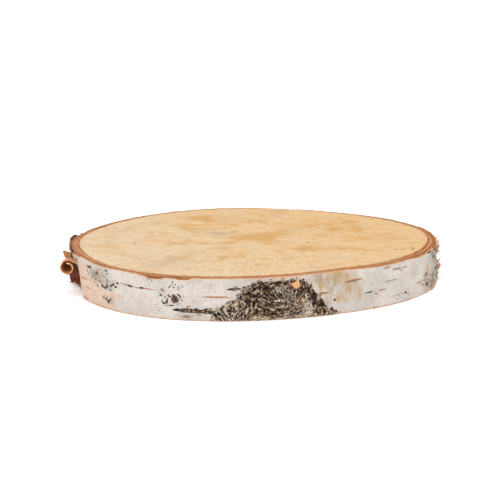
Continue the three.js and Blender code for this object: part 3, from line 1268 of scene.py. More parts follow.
@dataclass(frozen=True)
class PaperBark:
    """White birch bark: matt chalky paper in thin layers, with dark corky marks grown in it."""

    white: str = "D0C8C1"
    shade: str = "C0B9B2"
    drip: str = "B9AB9E"
    fibre: str = "B9A898"
    mottle: str = "ACA29A"
    lace: str = "968C84"
    peach: tuple[str, str] = ("C4A58F", "CFB8A6")
    tan: str = "B08E64"
    ash: str = "857A6C"
    black: str = "150F0B"
    grey: str = "7D7064"
    red: str = "9E6436"
    crust: str = "AD8461"
    edge: tuple[str, str] = ("D2A277", "BC7F4C")
    # The callus, from its deepest to its most weathered plates, and what stains them.
    plates: tuple[tuple[float, str], ...] = (
        (0.38, "2A1B12"), (0.45, "5E4432"), (0.51, "93714F"), (0.57, "C6A685"), (0.63, "E0C8AA"),
    )
    rust: tuple[str, str] = ("3E1D12", "8A523A")
    moss: tuple[str, str] = ("5C5B4C", "A9A898")
    umber: tuple[str, str] = ("241911", "6A5442")
    # painted shade in the callus's furrows, and a painted highlight on its ridges
    furrow_shade: str = "1C120C"
    ridge: str = "E4D0B6"
    grain: str = "2A1E17"
    pit: tuple[str, str] = ("0C0806", "4A2416")
    # Sizes of the patterns, in millimetres.
    cloud_size: float = 22.22
    fibre_size: Size = (9.091, 9.091, 1.1111)
    drip_size: Size = (2.381, 2.381, 14.286)
    grit_size: float = 0.66667
    speck_size: Size = (1.9231, 1.9231, 1.25)
    mottle_size: float = 2.0833
    lace_size: float = 3.0303
    ash_size: float = 2.381
    crust_size: Size = (1.4286, 1.4286, 0.66667)
    chip_size: float = 1.42857
    pit_size: float = 3.0303
    grain_size: float = 1.6129

    def paper(self, s: Shader, place: Any, fibre: Any, cloud: Any) -> Any:
        """The white paper with its wide stains.

        Args:
            s: the material.
            place: the socket of the place, in metres.
            fibre: noise of the paper's fibres, which run round the trunk.
            cloud: noise of its wide cloudy patches.

        Returns:
            The colour's socket.
        """
        peach, tan, ash = s.channels("tints")
        # Rain marks run down the trunk.
        drip = s.lumps(place, self.drip_size)
        speck = s.lumps(place, self.speck_size, 1)
        mottle = s.lumps(place, self.mottle_size, 4)
        lace = s.add(Node.CELL_EDGES, s.add(Node.STRETCH, place, (1, 1, 1.4)), 1 / (self.lace_size * MM))
        base = s.add(Node.MIX, s.add(Node.SPAN, cloud, 0.40, 0.62), self.shade, self.white)
        base = s.add(Node.MIX, s.add(Node.SPAN, drip, 0.40, 0.70, 0.0, 0.10), base, self.drip)
        base = s.add(Node.MIX, s.add(Node.SPAN, fibre, 0.35, 0.60, 0.16, 0.0), base, self.fibre)
        base = s.add(Node.MIX, s.add(Node.SPAN, mottle, 0.34, 0.52, 0.45, 0.0), base, self.mottle)
        base = s.add(Node.MIX, s.add(Node.SPAN, lace, 0.0, 0.12, 0.13, 0.0), base, self.lace)
        blush = s.add(Node.MIX, s.add(Node.SPAN, mottle, 0.38, 0.56), *self.peach)
        blushed = s.add(Node.TIMES, peach, s.add(Node.SPAN, mottle, 0.3, 0.5, 0.75, 1.0))
        base = s.add(Node.MIX, blushed, base, blush)
        tanned = s.add(Node.TIMES, tan, s.add(Node.SPAN, drip, 0.3, 0.6, 0.4, 1.1), use_clamp=True)
        base = s.add(Node.MIX, tanned, base, self.tan)
        patchy = s.add(Node.SPAN, s.lumps(place, self.ash_size, 4), 0.36, 0.62, 0.25, 1.25)
        base = s.add(Node.MIX, s.add(Node.TIMES, ash, patchy, use_clamp=True), base, self.ash)
        return s.add(Node.MIX, s.add(Node.SPAN, speck, 0.70, 0.76, 0.0, 0.55), base, self.grey)

    def marked(self, s: Shader, base: Any, place: Any, ragged: Any) -> Any:
        """The lenticels and flecks on the paper.

        Args:
            s: the material.
            base: the paper's colour.
            place: the socket of the place, in metres.
            ragged: noise about 0 that frays their edges.

        Returns:
            The colour's socket.
        """
        grey, black, red = s.channels("tones")
        kinds = ((red, self.red, 0.9), (grey, self.grey, 0.9), (black, self.black, 0.97))
        for amount, colour, strength in kinds:
            crisp = s.add(Node.SPAN, s.add(Node.SUM, amount, ragged), 0.38, 0.62, 0, strength)
            base = s.add(Node.MIX, crisp, base, colour)
        crusts = s.add(Node.SPAN, s.lumps(place, self.crust_size, 2), 0.52, 0.60, 0, 0.8)
        crusted = s.add(Node.TIMES, s.add(Node.SPAN, black, 0.96, 1.0), crusts)
        return s.add(Node.MIX, crusted, base, self.crust)

    def callus(self, s: Shader, place: Any, pale: Any, moss: Any, rust: Any) -> Any:
        """The branch scar's plates: taupe, and pale, rusty or mossy in places.

        Args:
            s: the material.
            place: the socket of the place, in metres.
            pale: how pale each place is.
            moss: how mossy each place is.
            rust: how rusty each place is.

        Returns:
            The colour's socket.
        """
        umber, ridge, _ = s.channels("grain")
        chip = s.lumps(place, self.chip_size, 4, 0.75)
        lit = s.add(Node.SUM, chip, s.add(Node.TIMES, pale, 0.10))
        uneven = s.add(Node.SPAN, chip, 0.42, 0.6)
        plate = s.add(Node.RAMP, lit, ramp=self.plates)
        plate = s.add(Node.MIX, s.add(Node.TIMES, rust, 0.7), plate, s.add(Node.MIX, uneven, *self.rust))
        plate = s.add(Node.MIX, s.add(Node.TIMES, moss, 0.8), plate, s.add(Node.MIX, uneven, *self.moss))
        # Painted shade in the furrows and painted highlights on the fine ridges run along each patch's grain.
        plate = s.add(Node.MIX, s.add(Node.SPAN, ridge, 0.22, 0.40, 0.80, 0.0), plate, self.furrow_shade)
        earth = s.add(Node.MIX, s.add(Node.SPAN, chip, 0.40, 0.6), *self.umber)
        plate = s.add(Node.MIX, s.add(Node.TIMES, umber, 0.75), plate, earth)
        # Painted highlights on the ridges.
        return s.add(Node.MIX, s.add(Node.SPAN, ridge, 0.62, 0.80, 0.0, 0.85), plate, self.ridge)

    def material(self) -> bpy.types.Material:
        """Builds the finish.

        Returns:
            The material.
        """
        # Layers of papery cork scatter light like chalk, so the white has hardly any shine.
        s = Shader("white_birch_bark")
        place = s.add(Node.PLACE)
        crack, pale, moss = s.channels("scar")
        scar, rust, edge = s.channels("more")
        cloud = s.lumps(place, self.cloud_size, 4)
        fibre = s.lumps(place, self.fibre_size)
        grit = s.lumps(place, self.grit_size, 2)
        ragged = s.add(Node.TIMES, s.add(Node.LESS, grit, 0.5), 0.5)
        base = self.marked(s, self.paper(s, place, fibre, cloud), place, ragged)
        # Where the callus is pale the white bark shows between the cracks.
        shown = s.add(Node.TIMES, scar, s.add(Node.TIMES_PLUS, pale, -0.35, 1.0))
        base = s.add(Node.MIX, shown, base, self.callus(s, place, pale, moss, rust))
        grain = s.add(Node.CELL_EDGES, s.add(Node.STRETCH, place, (1, 1, 1.3)), 1 / (self.grain_size * MM))
        grain = s.add(Node.SPAN, s.add(Node.SUM, grain, ragged), 0.0, 0.14, 0.6, 0.0)
        base = s.add(Node.MIX, s.add(Node.TIMES, scar, grain), base, self.grain)
        pit = s.add(Node.MIX, s.add(Node.SPAN, s.lumps(place, self.pit_size), 0.50, 0.62), *self.pit)
        cracked = s.add(Node.SPAN, s.add(Node.SUM, crack, ragged), 0.34, 0.66, 0, 0.96)
        base = s.add(Node.MIX, cracked, base, pit)
        base = s.add(Node.MIX, edge, base, s.add(Node.MIX, s.add(Node.SPAN, fibre, 0.35, 0.65), *self.edge))
        relief = s.add(Node.SUM, s.add(Node.TIMES, fibre, 0.45), s.add(Node.TIMES, grit, 0.25))
        relief = s.add(Node.LESS, relief, s.add(Node.TIMES, crack, 0.5))
        rough = s.add(Node.SPAN, cloud, 0.3, 0.7, 0.72, 0.84)
        return s.finish(base, rough, relief, 0.4, 0.16)


@dataclass(frozen=True)
class PeeledBark:
    """A peeled strip of birch bark: chalky outside, orange-brown and satin on its inner side, which painted
    shade darkens on the lifted flakes.
    """

    outside: tuple[str, str] = ("CDB79F", "B78F6C")
    inside: tuple[str, str] = ("A9602F", "C98A5C")
    stained_outside: tuple[str, str] = ("7A4020", "BC7C4A")
    # painted shade: the near-black inner side of a lifted flake stands for the shadow in the gap behind it
    shaded_inside: tuple[str, str] = ("240C07", "5A2815")
    edge: tuple[str, str] = ("E3BE93", "A9683E")
    fresh: tuple[str, str] = ("CB8C52", "DCAE80")
    fibre_size: Size = (2, 11.111, 2)
    grit_size: float = 0.76923

    def material(self) -> bpy.types.Material:
        """Builds the finish.

        Returns:
            The material.
        """
        # The inner side of peeled bark is smooth and waxy, so it has a little more shine.
        s = Shader("peeled_birch_bark")
        place = s.add(Node.PLACE)
        inner, edge, fresh = s.channels("peel")
        stain_and_shade = s.channels("stain_and_shade")[0]
        fibre = s.lumps(place, self.fibre_size)
        grit = s.lumps(place, self.grit_size, 2)
        fibrous = s.add(Node.SPAN, fibre, 0.35, 0.65)
        gritty = s.add(Node.SPAN, grit, 0.35, 0.65)
        outside = s.add(Node.MIX, fibrous, *self.outside)
        outside = s.add(Node.MIX, stain_and_shade, outside, s.add(Node.MIX, gritty, *self.stained_outside))
        inside = s.add(Node.MIX, fibrous, *self.inside)
        # Painted shade darkens the inner side where a flake stands off the log.
        inside = s.add(Node.MIX, stain_and_shade, inside, s.add(Node.MIX, gritty, *self.shaded_inside))
        base = s.add(Node.MIX, inner, outside, inside)
        base = s.add(Node.MIX, edge, base, s.add(Node.MIX, s.add(Node.SPAN, fibre, 0.4, 0.6), *self.edge))
        base = s.add(Node.MIX, fresh, base, s.add(Node.MIX, gritty, *self.fresh))
        relief = s.add(Node.SUM, s.add(Node.TIMES, fibre, 0.6), s.add(Node.TIMES, grit, 0.4))
        return s.finish(base, 0.7, relief, 0.3, 0.3)


# ---------------------------------------------------------------- the slice's pieces


@dataclass(frozen=True)
class Lattice:
    """A grid that is wrapped into a closed skin: columns one way and rows the other."""

    columns: int
    rows: int

    def add(self, name: str) -> tuple[bpy.types.Object, np.ndarray, np.ndarray]:
        """Adds the flat grid.

        Args:
            name: the new piece's name.

        Returns:
            The piece, and the column and row of each vertex.
        """
        grid = bpy.ops.mesh.primitive_grid_add
        piece = add_primitive(grid, name, x_subdivisions=self.columns, y_subdivisions=self.rows, size=2)
        flat = points_of(piece)
        column = np.rint((flat[:, 0] + 1) / 2 * self.columns).astype(int)
        row = np.rint((flat[:, 1] + 1) / 2 * self.rows).astype(int)
        return piece, column, row

    def bearings(self, column: np.ndarray, crowd: float) -> np.ndarray:
        """Bearing of each column, with the columns closer together at the front.

        Args:
            column: column numbers.
            crowd: degrees that the columns are drawn towards the front.

        Returns:
            Degrees, from -180 to 180.
        """
        share = (column % self.columns) / self.columns - 0.5
        return share * 360 - crowd * np.sin(2 * np.pi * share)

    def close(self, piece: bpy.types.Object) -> None:
        """Joins the grid's edges where they meet, and turns its faces outwards.

        Args:
            piece: the shaped grid.
        """
        edit(
            piece,
            lambda: bpy.ops.mesh.remove_doubles(threshold=0.002 * MM),
            lambda: bpy.ops.mesh.normals_make_consistent(inside=False),
        )

    def stack(self, piece: bpy.types.Object, column: np.ndarray, height: np.ndarray, strips: int) -> None:
        """Lays the skin out in strips, one above another.

        Args:
            piece: the grid, before it is closed.
            column: the column of each vertex.
            height: how far up its strip each vertex lies, from 0 to 1.
            strips: number of strips.
        """
        wide = self.columns // strips

        def uv(vertices: np.ndarray, faces: np.ndarray) -> np.ndarray:
            """Places of the corners.

            Args:
                vertices: the vertex at each corner.
                faces: the face that each corner is in.

            Returns:
                The corners' places on the map.
            """
            strip = np.floor(face_middles(piece, column.astype(float)) / wide)[faces]
            across = (column[vertices] - strip * wide) / wide
            return np.stack([0.01 + 0.98 * across, (strip + 0.02 + 0.96 * height[vertices]) / strips], -1)

        lay_out(piece, uv)


@dataclass(frozen=True)
class SawnWood:
    """The wood: two sawn faces with a hidden side between them."""

    trunk: Trunk
    lattice: Lattice = Lattice(360, 130)
    side_rows: int = 4
    # Each blotch's place on the upper face, its size in millimetres, and its strength.
    blotches: tuple[tuple[float, float, float, float], ...] = (
        (-3, 9, 12, 0.9), (8, 6, 10, 0.8), (18, 22, 10, 0.6), (8, 16, 12, 0.5), (38, -29, 7, 0.9),
        (50, -30, 6, 0.6), (63, -28, 6, 0.6), (75, -32, 5, 0.4), (62, 43, 9, 0.7), (50, 56, 9, 0.5),
        (70, 38, 8, 0.6), (-30, 82, 11, 0.6), (-38, 72, 9, 0.6), (-40, 52, 8, 0.6), (-45, 42, 7, 0.5),
        (-10, 75, 12, 0.35), (-8, -52, 8, 0.5), (-18, -56, 6, 0.4), (18, -12, 10, 0.45), (-45, -8, 8, 0.4),
        (-70, -12, 7, 0.3), (-72, 0, 6, 0.3), (-15, -8, 8, 0.4), (95, 20, 10, 0.35), (92, 5, 9, 0.3),
        (84, -5, 8, 0.3), (35, 60, 12, 0.4), (20, 50, 8, 0.3), (45, 20, 10, 0.25), (100, -5, 8, 0.25),
        (5, 95, 12, 0.25), (60, 75, 12, 0.3),
    )
    greys: tuple[tuple[float, float, float, float], ...] = (
        (-24, 25, 9, 0.8), (-50, -58, 9, 0.40), (-57, -76, 10, 0.40), (20, 108, 12, 0.35), (26, 36, 5, 0.35),
    )

    def build(self) -> bpy.types.Object:
        """Models the wood.

        Returns:
            The piece.
        """
        trunk, lattice = self.trunk, self.lattice
        piece, column, row = lattice.add("birch_wood")
        bearing = lattice.bearings(column, 0)
        face_rows = (lattice.rows - self.side_rows) // 2
        over, under = row, lattice.rows - row
        above = row < lattice.rows / 2
        share = np.clip(np.where(above, over, under) / face_rows, 0, 1)
        middle_row = np.clip((row - face_rows) / self.side_rows, 0, 1)
        level = np.where(above & (over <= face_rows), trunk.thickness, 0.0)
        inside = (row > face_rows) & (row < lattice.rows - face_rows)
        level = np.where(inside, trunk.thickness * (1 - middle_row), level)
        grain = Noise(41)
        wave = 0.6 * grain.layers(np.sin(bearing * DEGREE) * 16, np.cos(bearing * DEGREE) * 16, 0, 4, 0.6)
        edge = trunk.radius(bearing, trunk.thickness) - trunk.ring_width(bearing) + wave
        rim = trunk.place(bearing, edge, level)
        pith = np.array([*trunk.pith, 0.0])
        points = pith + (rim - pith) * share[:, None]
        points[:, 2] = level + trunk.floor
        x, y = points[:, 0], points[:, 1]
        sawn = 0.10 * grain.layers(x / 22, y / 22, 3, 2) + 0.05 * grain.layers(x / 2.5, y / 9, 8, 2)
        points[:, 2] += np.where(above, 1, -1) * (sawn - 0.12) * (share < 0.995) * ~inside
        shape(piece, points)
        self.stain(piece, x, y, share, above)
        half = face_middles(piece, row.astype(float)) < lattice.rows / 2

        def uv(vertices: np.ndarray, faces: np.ndarray) -> np.ndarray:
            """Places of the corners: the upper face large, the lower face in the far corner.

            Args:
                vertices: the vertex at each corner.
                faces: the face that each corner is in.

            Returns:
                The corners' places on the map.
            """
            top = half[faces]
            scale = np.where(top, 0.345, 0.24) / 135
            middle = np.where(top, 0.352, 0.752)
            return np.stack([x[vertices] * scale + middle, y[vertices] * scale + middle], -1)

        lay_out(piece, uv)
        lattice.close(piece)
        return piece

    def stain(
        self, piece: bpy.types.Object, x: np.ndarray, y: np.ndarray, share: np.ndarray, above: np.ndarray
    ) -> None:
        """Colours the grain: amber and grey blotches, the warm side, and the tree rings.

        Args:
            piece: the wood.
            x: the vertices' places, in millimetres.
            y: the vertices' places, in millimetres.
            share: how far each vertex is from the pith to the bark.
            above: whether each vertex is on the upper face.
        """
        noise = Noise(42)
        # The lower face is the upper one seen from below, drawn in a little so it isn't the same.
        along = x * np.where(above, 1.0, -0.94)
        amber, grey = np.zeros(len(x)), np.zeros(len(x))
        bend = 2.5 * noise.layers(x / 14, y / 14, 2, 2)
        for layer, spots in ((amber, self.blotches), (grey, self.greys)):
            for left, back, size, strength in spots:
                # Blotches reach along the rays, away from the pith.
                ax, ay = left - self.trunk.pith[0], back - self.trunk.pith[1]
                far = math.hypot(ax, ay) + 1e-6
                dx, dy = along - left, y - back
                down = (dx * ax + dy * ay + bend) / far
                side = (dx * ay - dy * ax) / far
                stretch = 1.0 + min(far / 60, 0.7)
                layer += strength * np.exp(-((down / (size * stretch)) ** 2) - (side / (size * 0.8)) ** 2)
        bearing = np.arctan2(along, -y) / DEGREE
        reach = np.hypot(x, y)
        ash = 0.30 * np.exp(-(((reach - 99) / 4.0) ** 2)) * smooth(70 - np.abs(turn_to(bearing, -88)), 0, 25)
        grey += ash * (1 + 1.4 * noise.layers(x / 9, y / 9, 5, 3))
        # Between the blotches the colour comes and goes in short strokes along the rays.
        away = np.hypot(along - self.trunk.pith[0], y - self.trunk.pith[1])
        aim = np.arctan2(y - self.trunk.pith[1], along - self.trunk.pith[0])
        stroke_x, stroke_y = np.cos(aim) * 3.4 + away / 22, np.sin(aim) * 3.4 - away / 26
        strokes = noise.layers(stroke_x, stroke_y, away / 15, 4, 0.65)
        amber = amber * (1 + 0.9 * noise.layers(x / 9, y / 9, 23, 3)) + 0.45 * smooth(strokes, -0.1, 0.8)
        amber += 0.35 * smooth(strokes, -0.1, 0.6) * smooth(away, 105, 60)
        grey += 0.28 * smooth(noise.layers(x / 16, y / 16, 17, 4, 0.6), 0.12, 0.7)
        warm = 0.62 + 0.0045 * along + 0.0022 * y + 0.30 * noise.layers(x / 38, y / 38, 11, 3)
        paint(piece, "grain", amber * 0.95, grey * 0.95, warm)
        paint(piece, "ring", share)


@dataclass(frozen=True)
class InnerBark:
    """The rust-brown inner bark: a cut ring above and below, and the side under the paper."""

    trunk: Trunk
    lattice: Lattice = Lattice(960, 40)
    face_rows: int = 12
    side_rows: int = 22
    sunk: float = 0.25

    def build(self) -> bpy.types.Object:
        """Models the inner bark.

        Returns:
            The piece.
        """
        trunk, lattice = self.trunk, self.lattice
        piece, column, row = lattice.add("inner_bark")
        bearing = lattice.bearings(column, 10)
        grain = Noise(51)
        height = row / lattice.rows
        row = row % lattice.rows
        faces, sides = self.face_rows, self.side_rows
        top = row <= faces
        side = (row > faces) & (row < faces + sides)
        depth = np.where(top, row / faces, np.clip((lattice.rows - 1 - row) / 4, 0, 1))
        depth = np.where(side, 1.0, depth)
        full = trunk.thickness - self.sunk
        level = np.where(top, full, self.sunk)
        level = np.where(side, between(full - 0.2, self.sunk + 0.2, (row - faces) / sides), level)
        inner = trunk.radius(bearing, trunk.thickness) - trunk.ring_width(bearing) - 0.7
        inner = inner + 0.55 * grain.layers(bearing / 1.1, 2.2, 0, 3)
        outer = trunk.inner_radius(bearing, level)
        radius = between(inner, outer, depth)
        x, y, z = trunk.place(bearing, radius, level).T
        crumbs = 0.22 * grain.layers(x / 1.6, y / 1.6, z / 1.6, 3)
        crumbs = crumbs + 0.10 * grain.at(depth * 6, bearing / 3, 2)
        under_wood = smooth(depth, 0.0, 0.09)
        level = level + np.where(top, 1, -1) * ~side * (crumbs - 0.5 * (1 - under_wood))
        torn = trunk.torn(bearing, level) * side
        shred = grain.layers(bearing / 4, z / 0.9, 3.3, 3) + 0.6 * grain.layers(bearing / 1.4, z / 5, 8.1, 2)
        radius = radius + torn * (0.7 * shred - 0.2) + side * 0.15 * grain.layers(bearing / 2, z / 1.2, 6, 2)
        shape(piece, trunk.place(bearing, radius, level))
        streak = Zone(-76, 10.5, 5, 0.7, 0.4).at(bearing, level - 0.12 * turn_to(bearing, -76))
        # The third channel marks the torn side, which the finish darkens with painted shade.
        paint(piece, "ring", depth, self.paleness(bearing, depth, top, grain) + streak, torn * (1 - streak))
        lattice.stack(piece, column, height, 4)
        lattice.close(piece)
        return piece

    def paleness(self, bearing: np.ndarray, depth: np.ndarray, top: np.ndarray, grain: Noise) -> np.ndarray:
        """Where the cut ring is paler.

        Args:
            bearing: degrees round the log.
            depth: from 0 at the wood to 1 at the paper.
            top: whether each vertex is on the upper ring.
            grain: the ring's noise.

        Returns:
            Numbers from 0 to 1.
        """
        left = smooth(-turn_to(bearing, -20), 0, 40) * smooth(turn_to(bearing, -150), 0, 30)
        band = np.exp(-(((depth - 0.55) / 0.28) ** 2))
        patchy = 0.5 + 0.8 * grain.layers(bearing / 5, depth * 2, 4.4, 3)
        rim = 1.0 * smooth(depth, 0.9, 1.0) * top
        return np.clip((0.25 + 0.65 * left) * band * patchy + rim, 0, 1)


@dataclass(frozen=True)
class OuterBark:
    """The white papery bark round the slice, with everything that grew in it."""

    trunk: Trunk
    pattern: BarkPattern
    scar: BranchScar
    lattice: Lattice = Lattice(1200, 72)
    side_rows: int = 62
    bottom: float = 0.5
    # Where the upper edge is chipped: bearing, half width in degrees, and depth.
    chips: tuple[tuple[float, float, float], ...] = (
        (-26, 8, 0.8), (-29, 2.6, 1.0), (-20, 2, 0.5), (24, 3, 0.35), (48, 5, 0.3), (66, 5, 0.6),
        (-50, 4, 0.3), (-72, 6.5, 0.8), (-76, 5, 1.0), (-79, 3, 1.2),
        (84, 5, 1.2), (-92, 6, 1.0), (120, 6, 0.8), (-150, 9, 1.0), (170, 5, 0.7),
    )
    fuzz: tuple[Zone, ...] = (Zone(8.5, 27.1, 8, 1.3, 0.7), Zone(-26, 27.0, 8, 0.6, 0.8))
    # The section behind the side rows: how far along it is, how far in, and its share of the height.
    turns: tuple[float, ...] = (0.0, 0.12, 0.24, 0.36, 0.5, 0.64, 0.76, 0.88, 1.0)
    inward: tuple[float, ...] = (0.0, 0.25, 0.9, 1.3, 1.5, 1.3, 0.9, 0.25, 0.0)
    share: tuple[float, ...] = (1.0, 1.008, 1.008, 0.96, 0.5, 0.04, -0.008, -0.008, 0.0)

    def top(self, bearing: np.ndarray) -> np.ndarray:
        """Level of the paper's ragged upper edge.

        Args:
            bearing: degrees round the log.

        Returns:
            Levels in millimetres.
        """
        lost = sum(
            deep * smooth(half_width - np.abs(turn_to(bearing, middle)), -1.0, 1.0)
            for middle, half_width, deep in self.chips
        )
        torn = 0.30 * Noise(61).layers(np.sin(bearing * DEGREE) * 40, np.cos(bearing * DEGREE) * 40, 0, 3)
        return self.trunk.thickness - 0.45 - lost * (1 + torn) + torn

    def build(self) -> bpy.types.Object:
        """Models the white bark.

        Returns:
            The piece.
        """
        trunk, lattice = self.trunk, self.lattice
        piece, column, row = lattice.add("outer_bark")
        bearing = lattice.bearings(column, 15)
        height = row / lattice.rows
        row = row % lattice.rows
        top = self.top(bearing)
        frayed = Noise(62).layers(np.sin(bearing * DEGREE) * 45, np.cos(bearing * DEGREE) * 45)
        foot = self.bottom + 0.6 * frayed
        level, inward = self.section(row, foot, top)
        tones = self.pattern.tones(bearing, level)
        scar = self.scar.fields(trunk, bearing, level)
        relief = self.pattern.relief(bearing, level, tones) * (1 - 0.8 * scar["mask"]) + scar["height"]
        near_edge = smooth(np.minimum(level - foot, top - level), 0.0, 1.4)
        radius = trunk.radius(bearing, level) + relief * between(0.35, 1.0, near_edge) - inward
        torn = trunk.torn(bearing, level)
        # Where it is torn off, the skin lies hidden under the inner bark.
        under = trunk.inner_radius(bearing, level) - 0.9
        radius = between(radius, np.minimum(under, radius), torn)
        shape(piece, trunk.place(bearing, radius, level))
        low_lip = 0.5 * smooth(foot - level, -1.1, -0.2) * (1 - 0.8 * scar["mask"])
        lip = smooth(level - top, -0.45, -0.1) + low_lip
        behind = row > self.side_rows
        self.colour(piece, bearing, level, tones, scar, np.clip(lip + 3.5 * torn * (1 - torn) + behind, 0, 1))
        lattice.stack(piece, column, height, 4)
        lattice.close(piece)
        return piece

    def section(self, row: np.ndarray, foot: np.ndarray, top: np.ndarray) -> tuple[np.ndarray, np.ndarray]:
        """The paper's section: up its side, over the top, down inside and back under.

        Args:
            row: the row of each vertex.
            foot: level of the lower edge at each vertex.
            top: level of the upper edge at each vertex.

        Returns:
            The level of each vertex, and how far inside the paper's surface it is.
        """
        sides = self.side_rows
        fold = np.clip((row - sides) / (self.lattice.rows - sides), 0, 1)
        inward = np.interp(fold, self.turns, self.inward)
        share = np.where(row > sides, np.interp(fold, self.turns, self.share), np.clip(row / sides, 0, 1))
        return between(foot, top, share), inward

    def colour(
        self,
        piece: bpy.types.Object,
        bearing: np.ndarray,
        level: np.ndarray,
        tones: list[np.ndarray],
        scar: dict[str, np.ndarray],
        cut: np.ndarray,
    ) -> None:
        """Colours the white bark.

        Args:
            piece: the white bark.
            bearing: degrees round the log.
            level: heights.
            tones: how strong each tone of mark is.
            scar: what the branch scar is made of.
            cut: how much each vertex is on a cut or torn edge.
        """
        in_pock, _ = self.pattern.pocks(bearing, level)
        fuzz = sum(zone.at(bearing, level) for zone in self.fuzz)
        fuzz = fuzz * smooth(Noise(63).layers(bearing / 1.2, level / 1.2, 0, 3), -0.2, 0.2)
        paint(piece, "tones", *(tone * (1 - scar["mask"]) for tone in tones))
        paint(piece, "tints", *self.pattern.tints(bearing, level))
        paint(piece, "scar", *(scar[name] * scar["mask"] for name in ("crack", "pale", "moss")))
        callus, rusty = (np.maximum(scar[name], in_pock) for name in ("mask", "rust"))
        paint(piece, "more", callus, rusty, np.maximum(cut, fuzz))
        umber = np.maximum(scar["umber"] * scar["mask"], in_pock)
        # The second channel places the painted highlights and painted shade of the callus's ridges.
        paint(piece, "grain", umber, between(0.5, scar["ridge"], scar["mask"]))


def bent_sheet(
    name: str,
    across: int,
    along: int,
    surface: Callable[[np.ndarray, np.ndarray], np.ndarray],
    thickness: float,
    turned: bool = False,
    stain: tuple[float, float] = (0.0, 0.0),
    fresh: float = 0.0,
) -> bpy.types.Object:
    """Models a thin closed sheet.

    Args:
        name: the piece's name.
        across: number of faces one way.
        along: number of faces the other way.
        surface: gives points in millimetres from two shares, each from 0 to 1.
        thickness: millimetres.
        turned: whether the surface's own side is the bark's inner one.
        stain: how brown its outer side is, and how dark painted shade makes its inner side, each from 0 to 1.
        fresh: how much its outer side is fresh orange bark, from 0 to 1.

    Returns:
        The piece, with the attribute `peel` telling its inner side and its edges.
    """
    grid = bpy.ops.mesh.primitive_grid_add
    piece = add_primitive(grid, name, x_subdivisions=across, y_subdivisions=along, size=2)
    flat = points_of(piece)
    u, v = (flat[:, 0] + 1) / 2, (flat[:, 1] + 1) / 2
    shape(piece, surface(u, v))
    apply_modifier(piece, "SOLIDIFY", thickness=thickness * MM, offset=-1.0, use_even_offset=False)
    count = len(u)
    twice = len(piece.data.vertices) // count
    u, v = np.tile(u, twice), np.tile(v, twice)
    border = np.minimum(np.minimum(u, 1 - u) * across, np.minimum(v, 1 - v) * along)
    inner = (np.arange(len(u)) >= count) != turned
    paint(piece, "peel", inner, border < 0.5, fresh * ~inner)
    # The inner side's number is painted shade, and the outer side's is a real brown stain.
    paint(piece, "stain_and_shade", np.where(inner, stain[1], stain[0]))
    edit(piece, lambda: bpy.ops.mesh.normals_make_consistent(inside=False))
    return piece


@dataclass(frozen=True)
class PeeledRoll:
    """The strip of bark that peeled off the left side and rolled itself up."""

    front: tuple[float, float, float] = (-124.7, -50.0, 19.3)
    back: tuple[float, float, float] = (-124.5, -28.0, 19.6)
    outer: float = 4.8
    core: float = 2.7
    turns: float = 1.05
    bark: float = 0.8
    # The strip leaves the log at its root, which hangs lower, and leads to the roll.
    root: float = 7.5
    sag: float = 3.4
    lead: float = 0.13
    lead_angle: float = 82
    # How much of the roll's radius is lost towards its back end.
    taper: float = 0.62

    def build(self) -> bpy.types.Object:
        """Models the roll.

        Returns:
            The piece.
        """
        crumple = Noise(71)

        def surface(u: np.ndarray, v: np.ndarray) -> np.ndarray:
            """The rolled sheet.

            Args:
                u: shares of the way from its root to its core.
                v: shares of the way from its front to its back.

            Returns:
                Points in millimetres.
            """
            roll = np.clip((u - self.lead) / (1 - self.lead), 0, 1)
            lead = np.clip(1 - u / self.lead, 0, 1)
            turn = (self.lead_angle + 360 * self.turns * roll**0.92) * DEGREE
            reach = between(self.outer, self.core, roll**0.85) * (1 - self.taper * smooth(v, 0.15, 1.0))
            reach = reach + 0.35 * crumple.layers(turn * 1.2, v * 3, 1, 2) * (1 - 0.5 * roll)
            x = reach * np.cos(turn) + lead * self.root
            z = reach * np.sin(turn) - self.sag * lead**1.4 + 0.3 * crumple.at(v * 6, lead * 2, 5)
            ragged = 0.035 * crumple.layers(u * 9, 3.3, 0, 3) + 0.03 * np.sin(u * 6)
            along = between(ragged, 1 + 0.06 * crumple.layers(u * 7, 9.1, 0, 3), v)
            place = [between(a, b, along) for a, b in zip(self.front, self.back)]
            return np.stack([place[0] + x, place[1], place[2] + z], -1)

        return bent_sheet("bark_roll", 150, 56, surface, self.bark, stain=(1.0, 0.0), fresh=0.75)


@dataclass(frozen=True)
class Flake:
    """A strip of bark that has come away from the side at one edge."""

    name: str
    start: float
    stop: float
    low: float
    high: float
    gap: float
    lean: float = 0.0
    # Whether it is stained brown outside and darkened inside by painted shade.
    stain_and_shade: bool = False


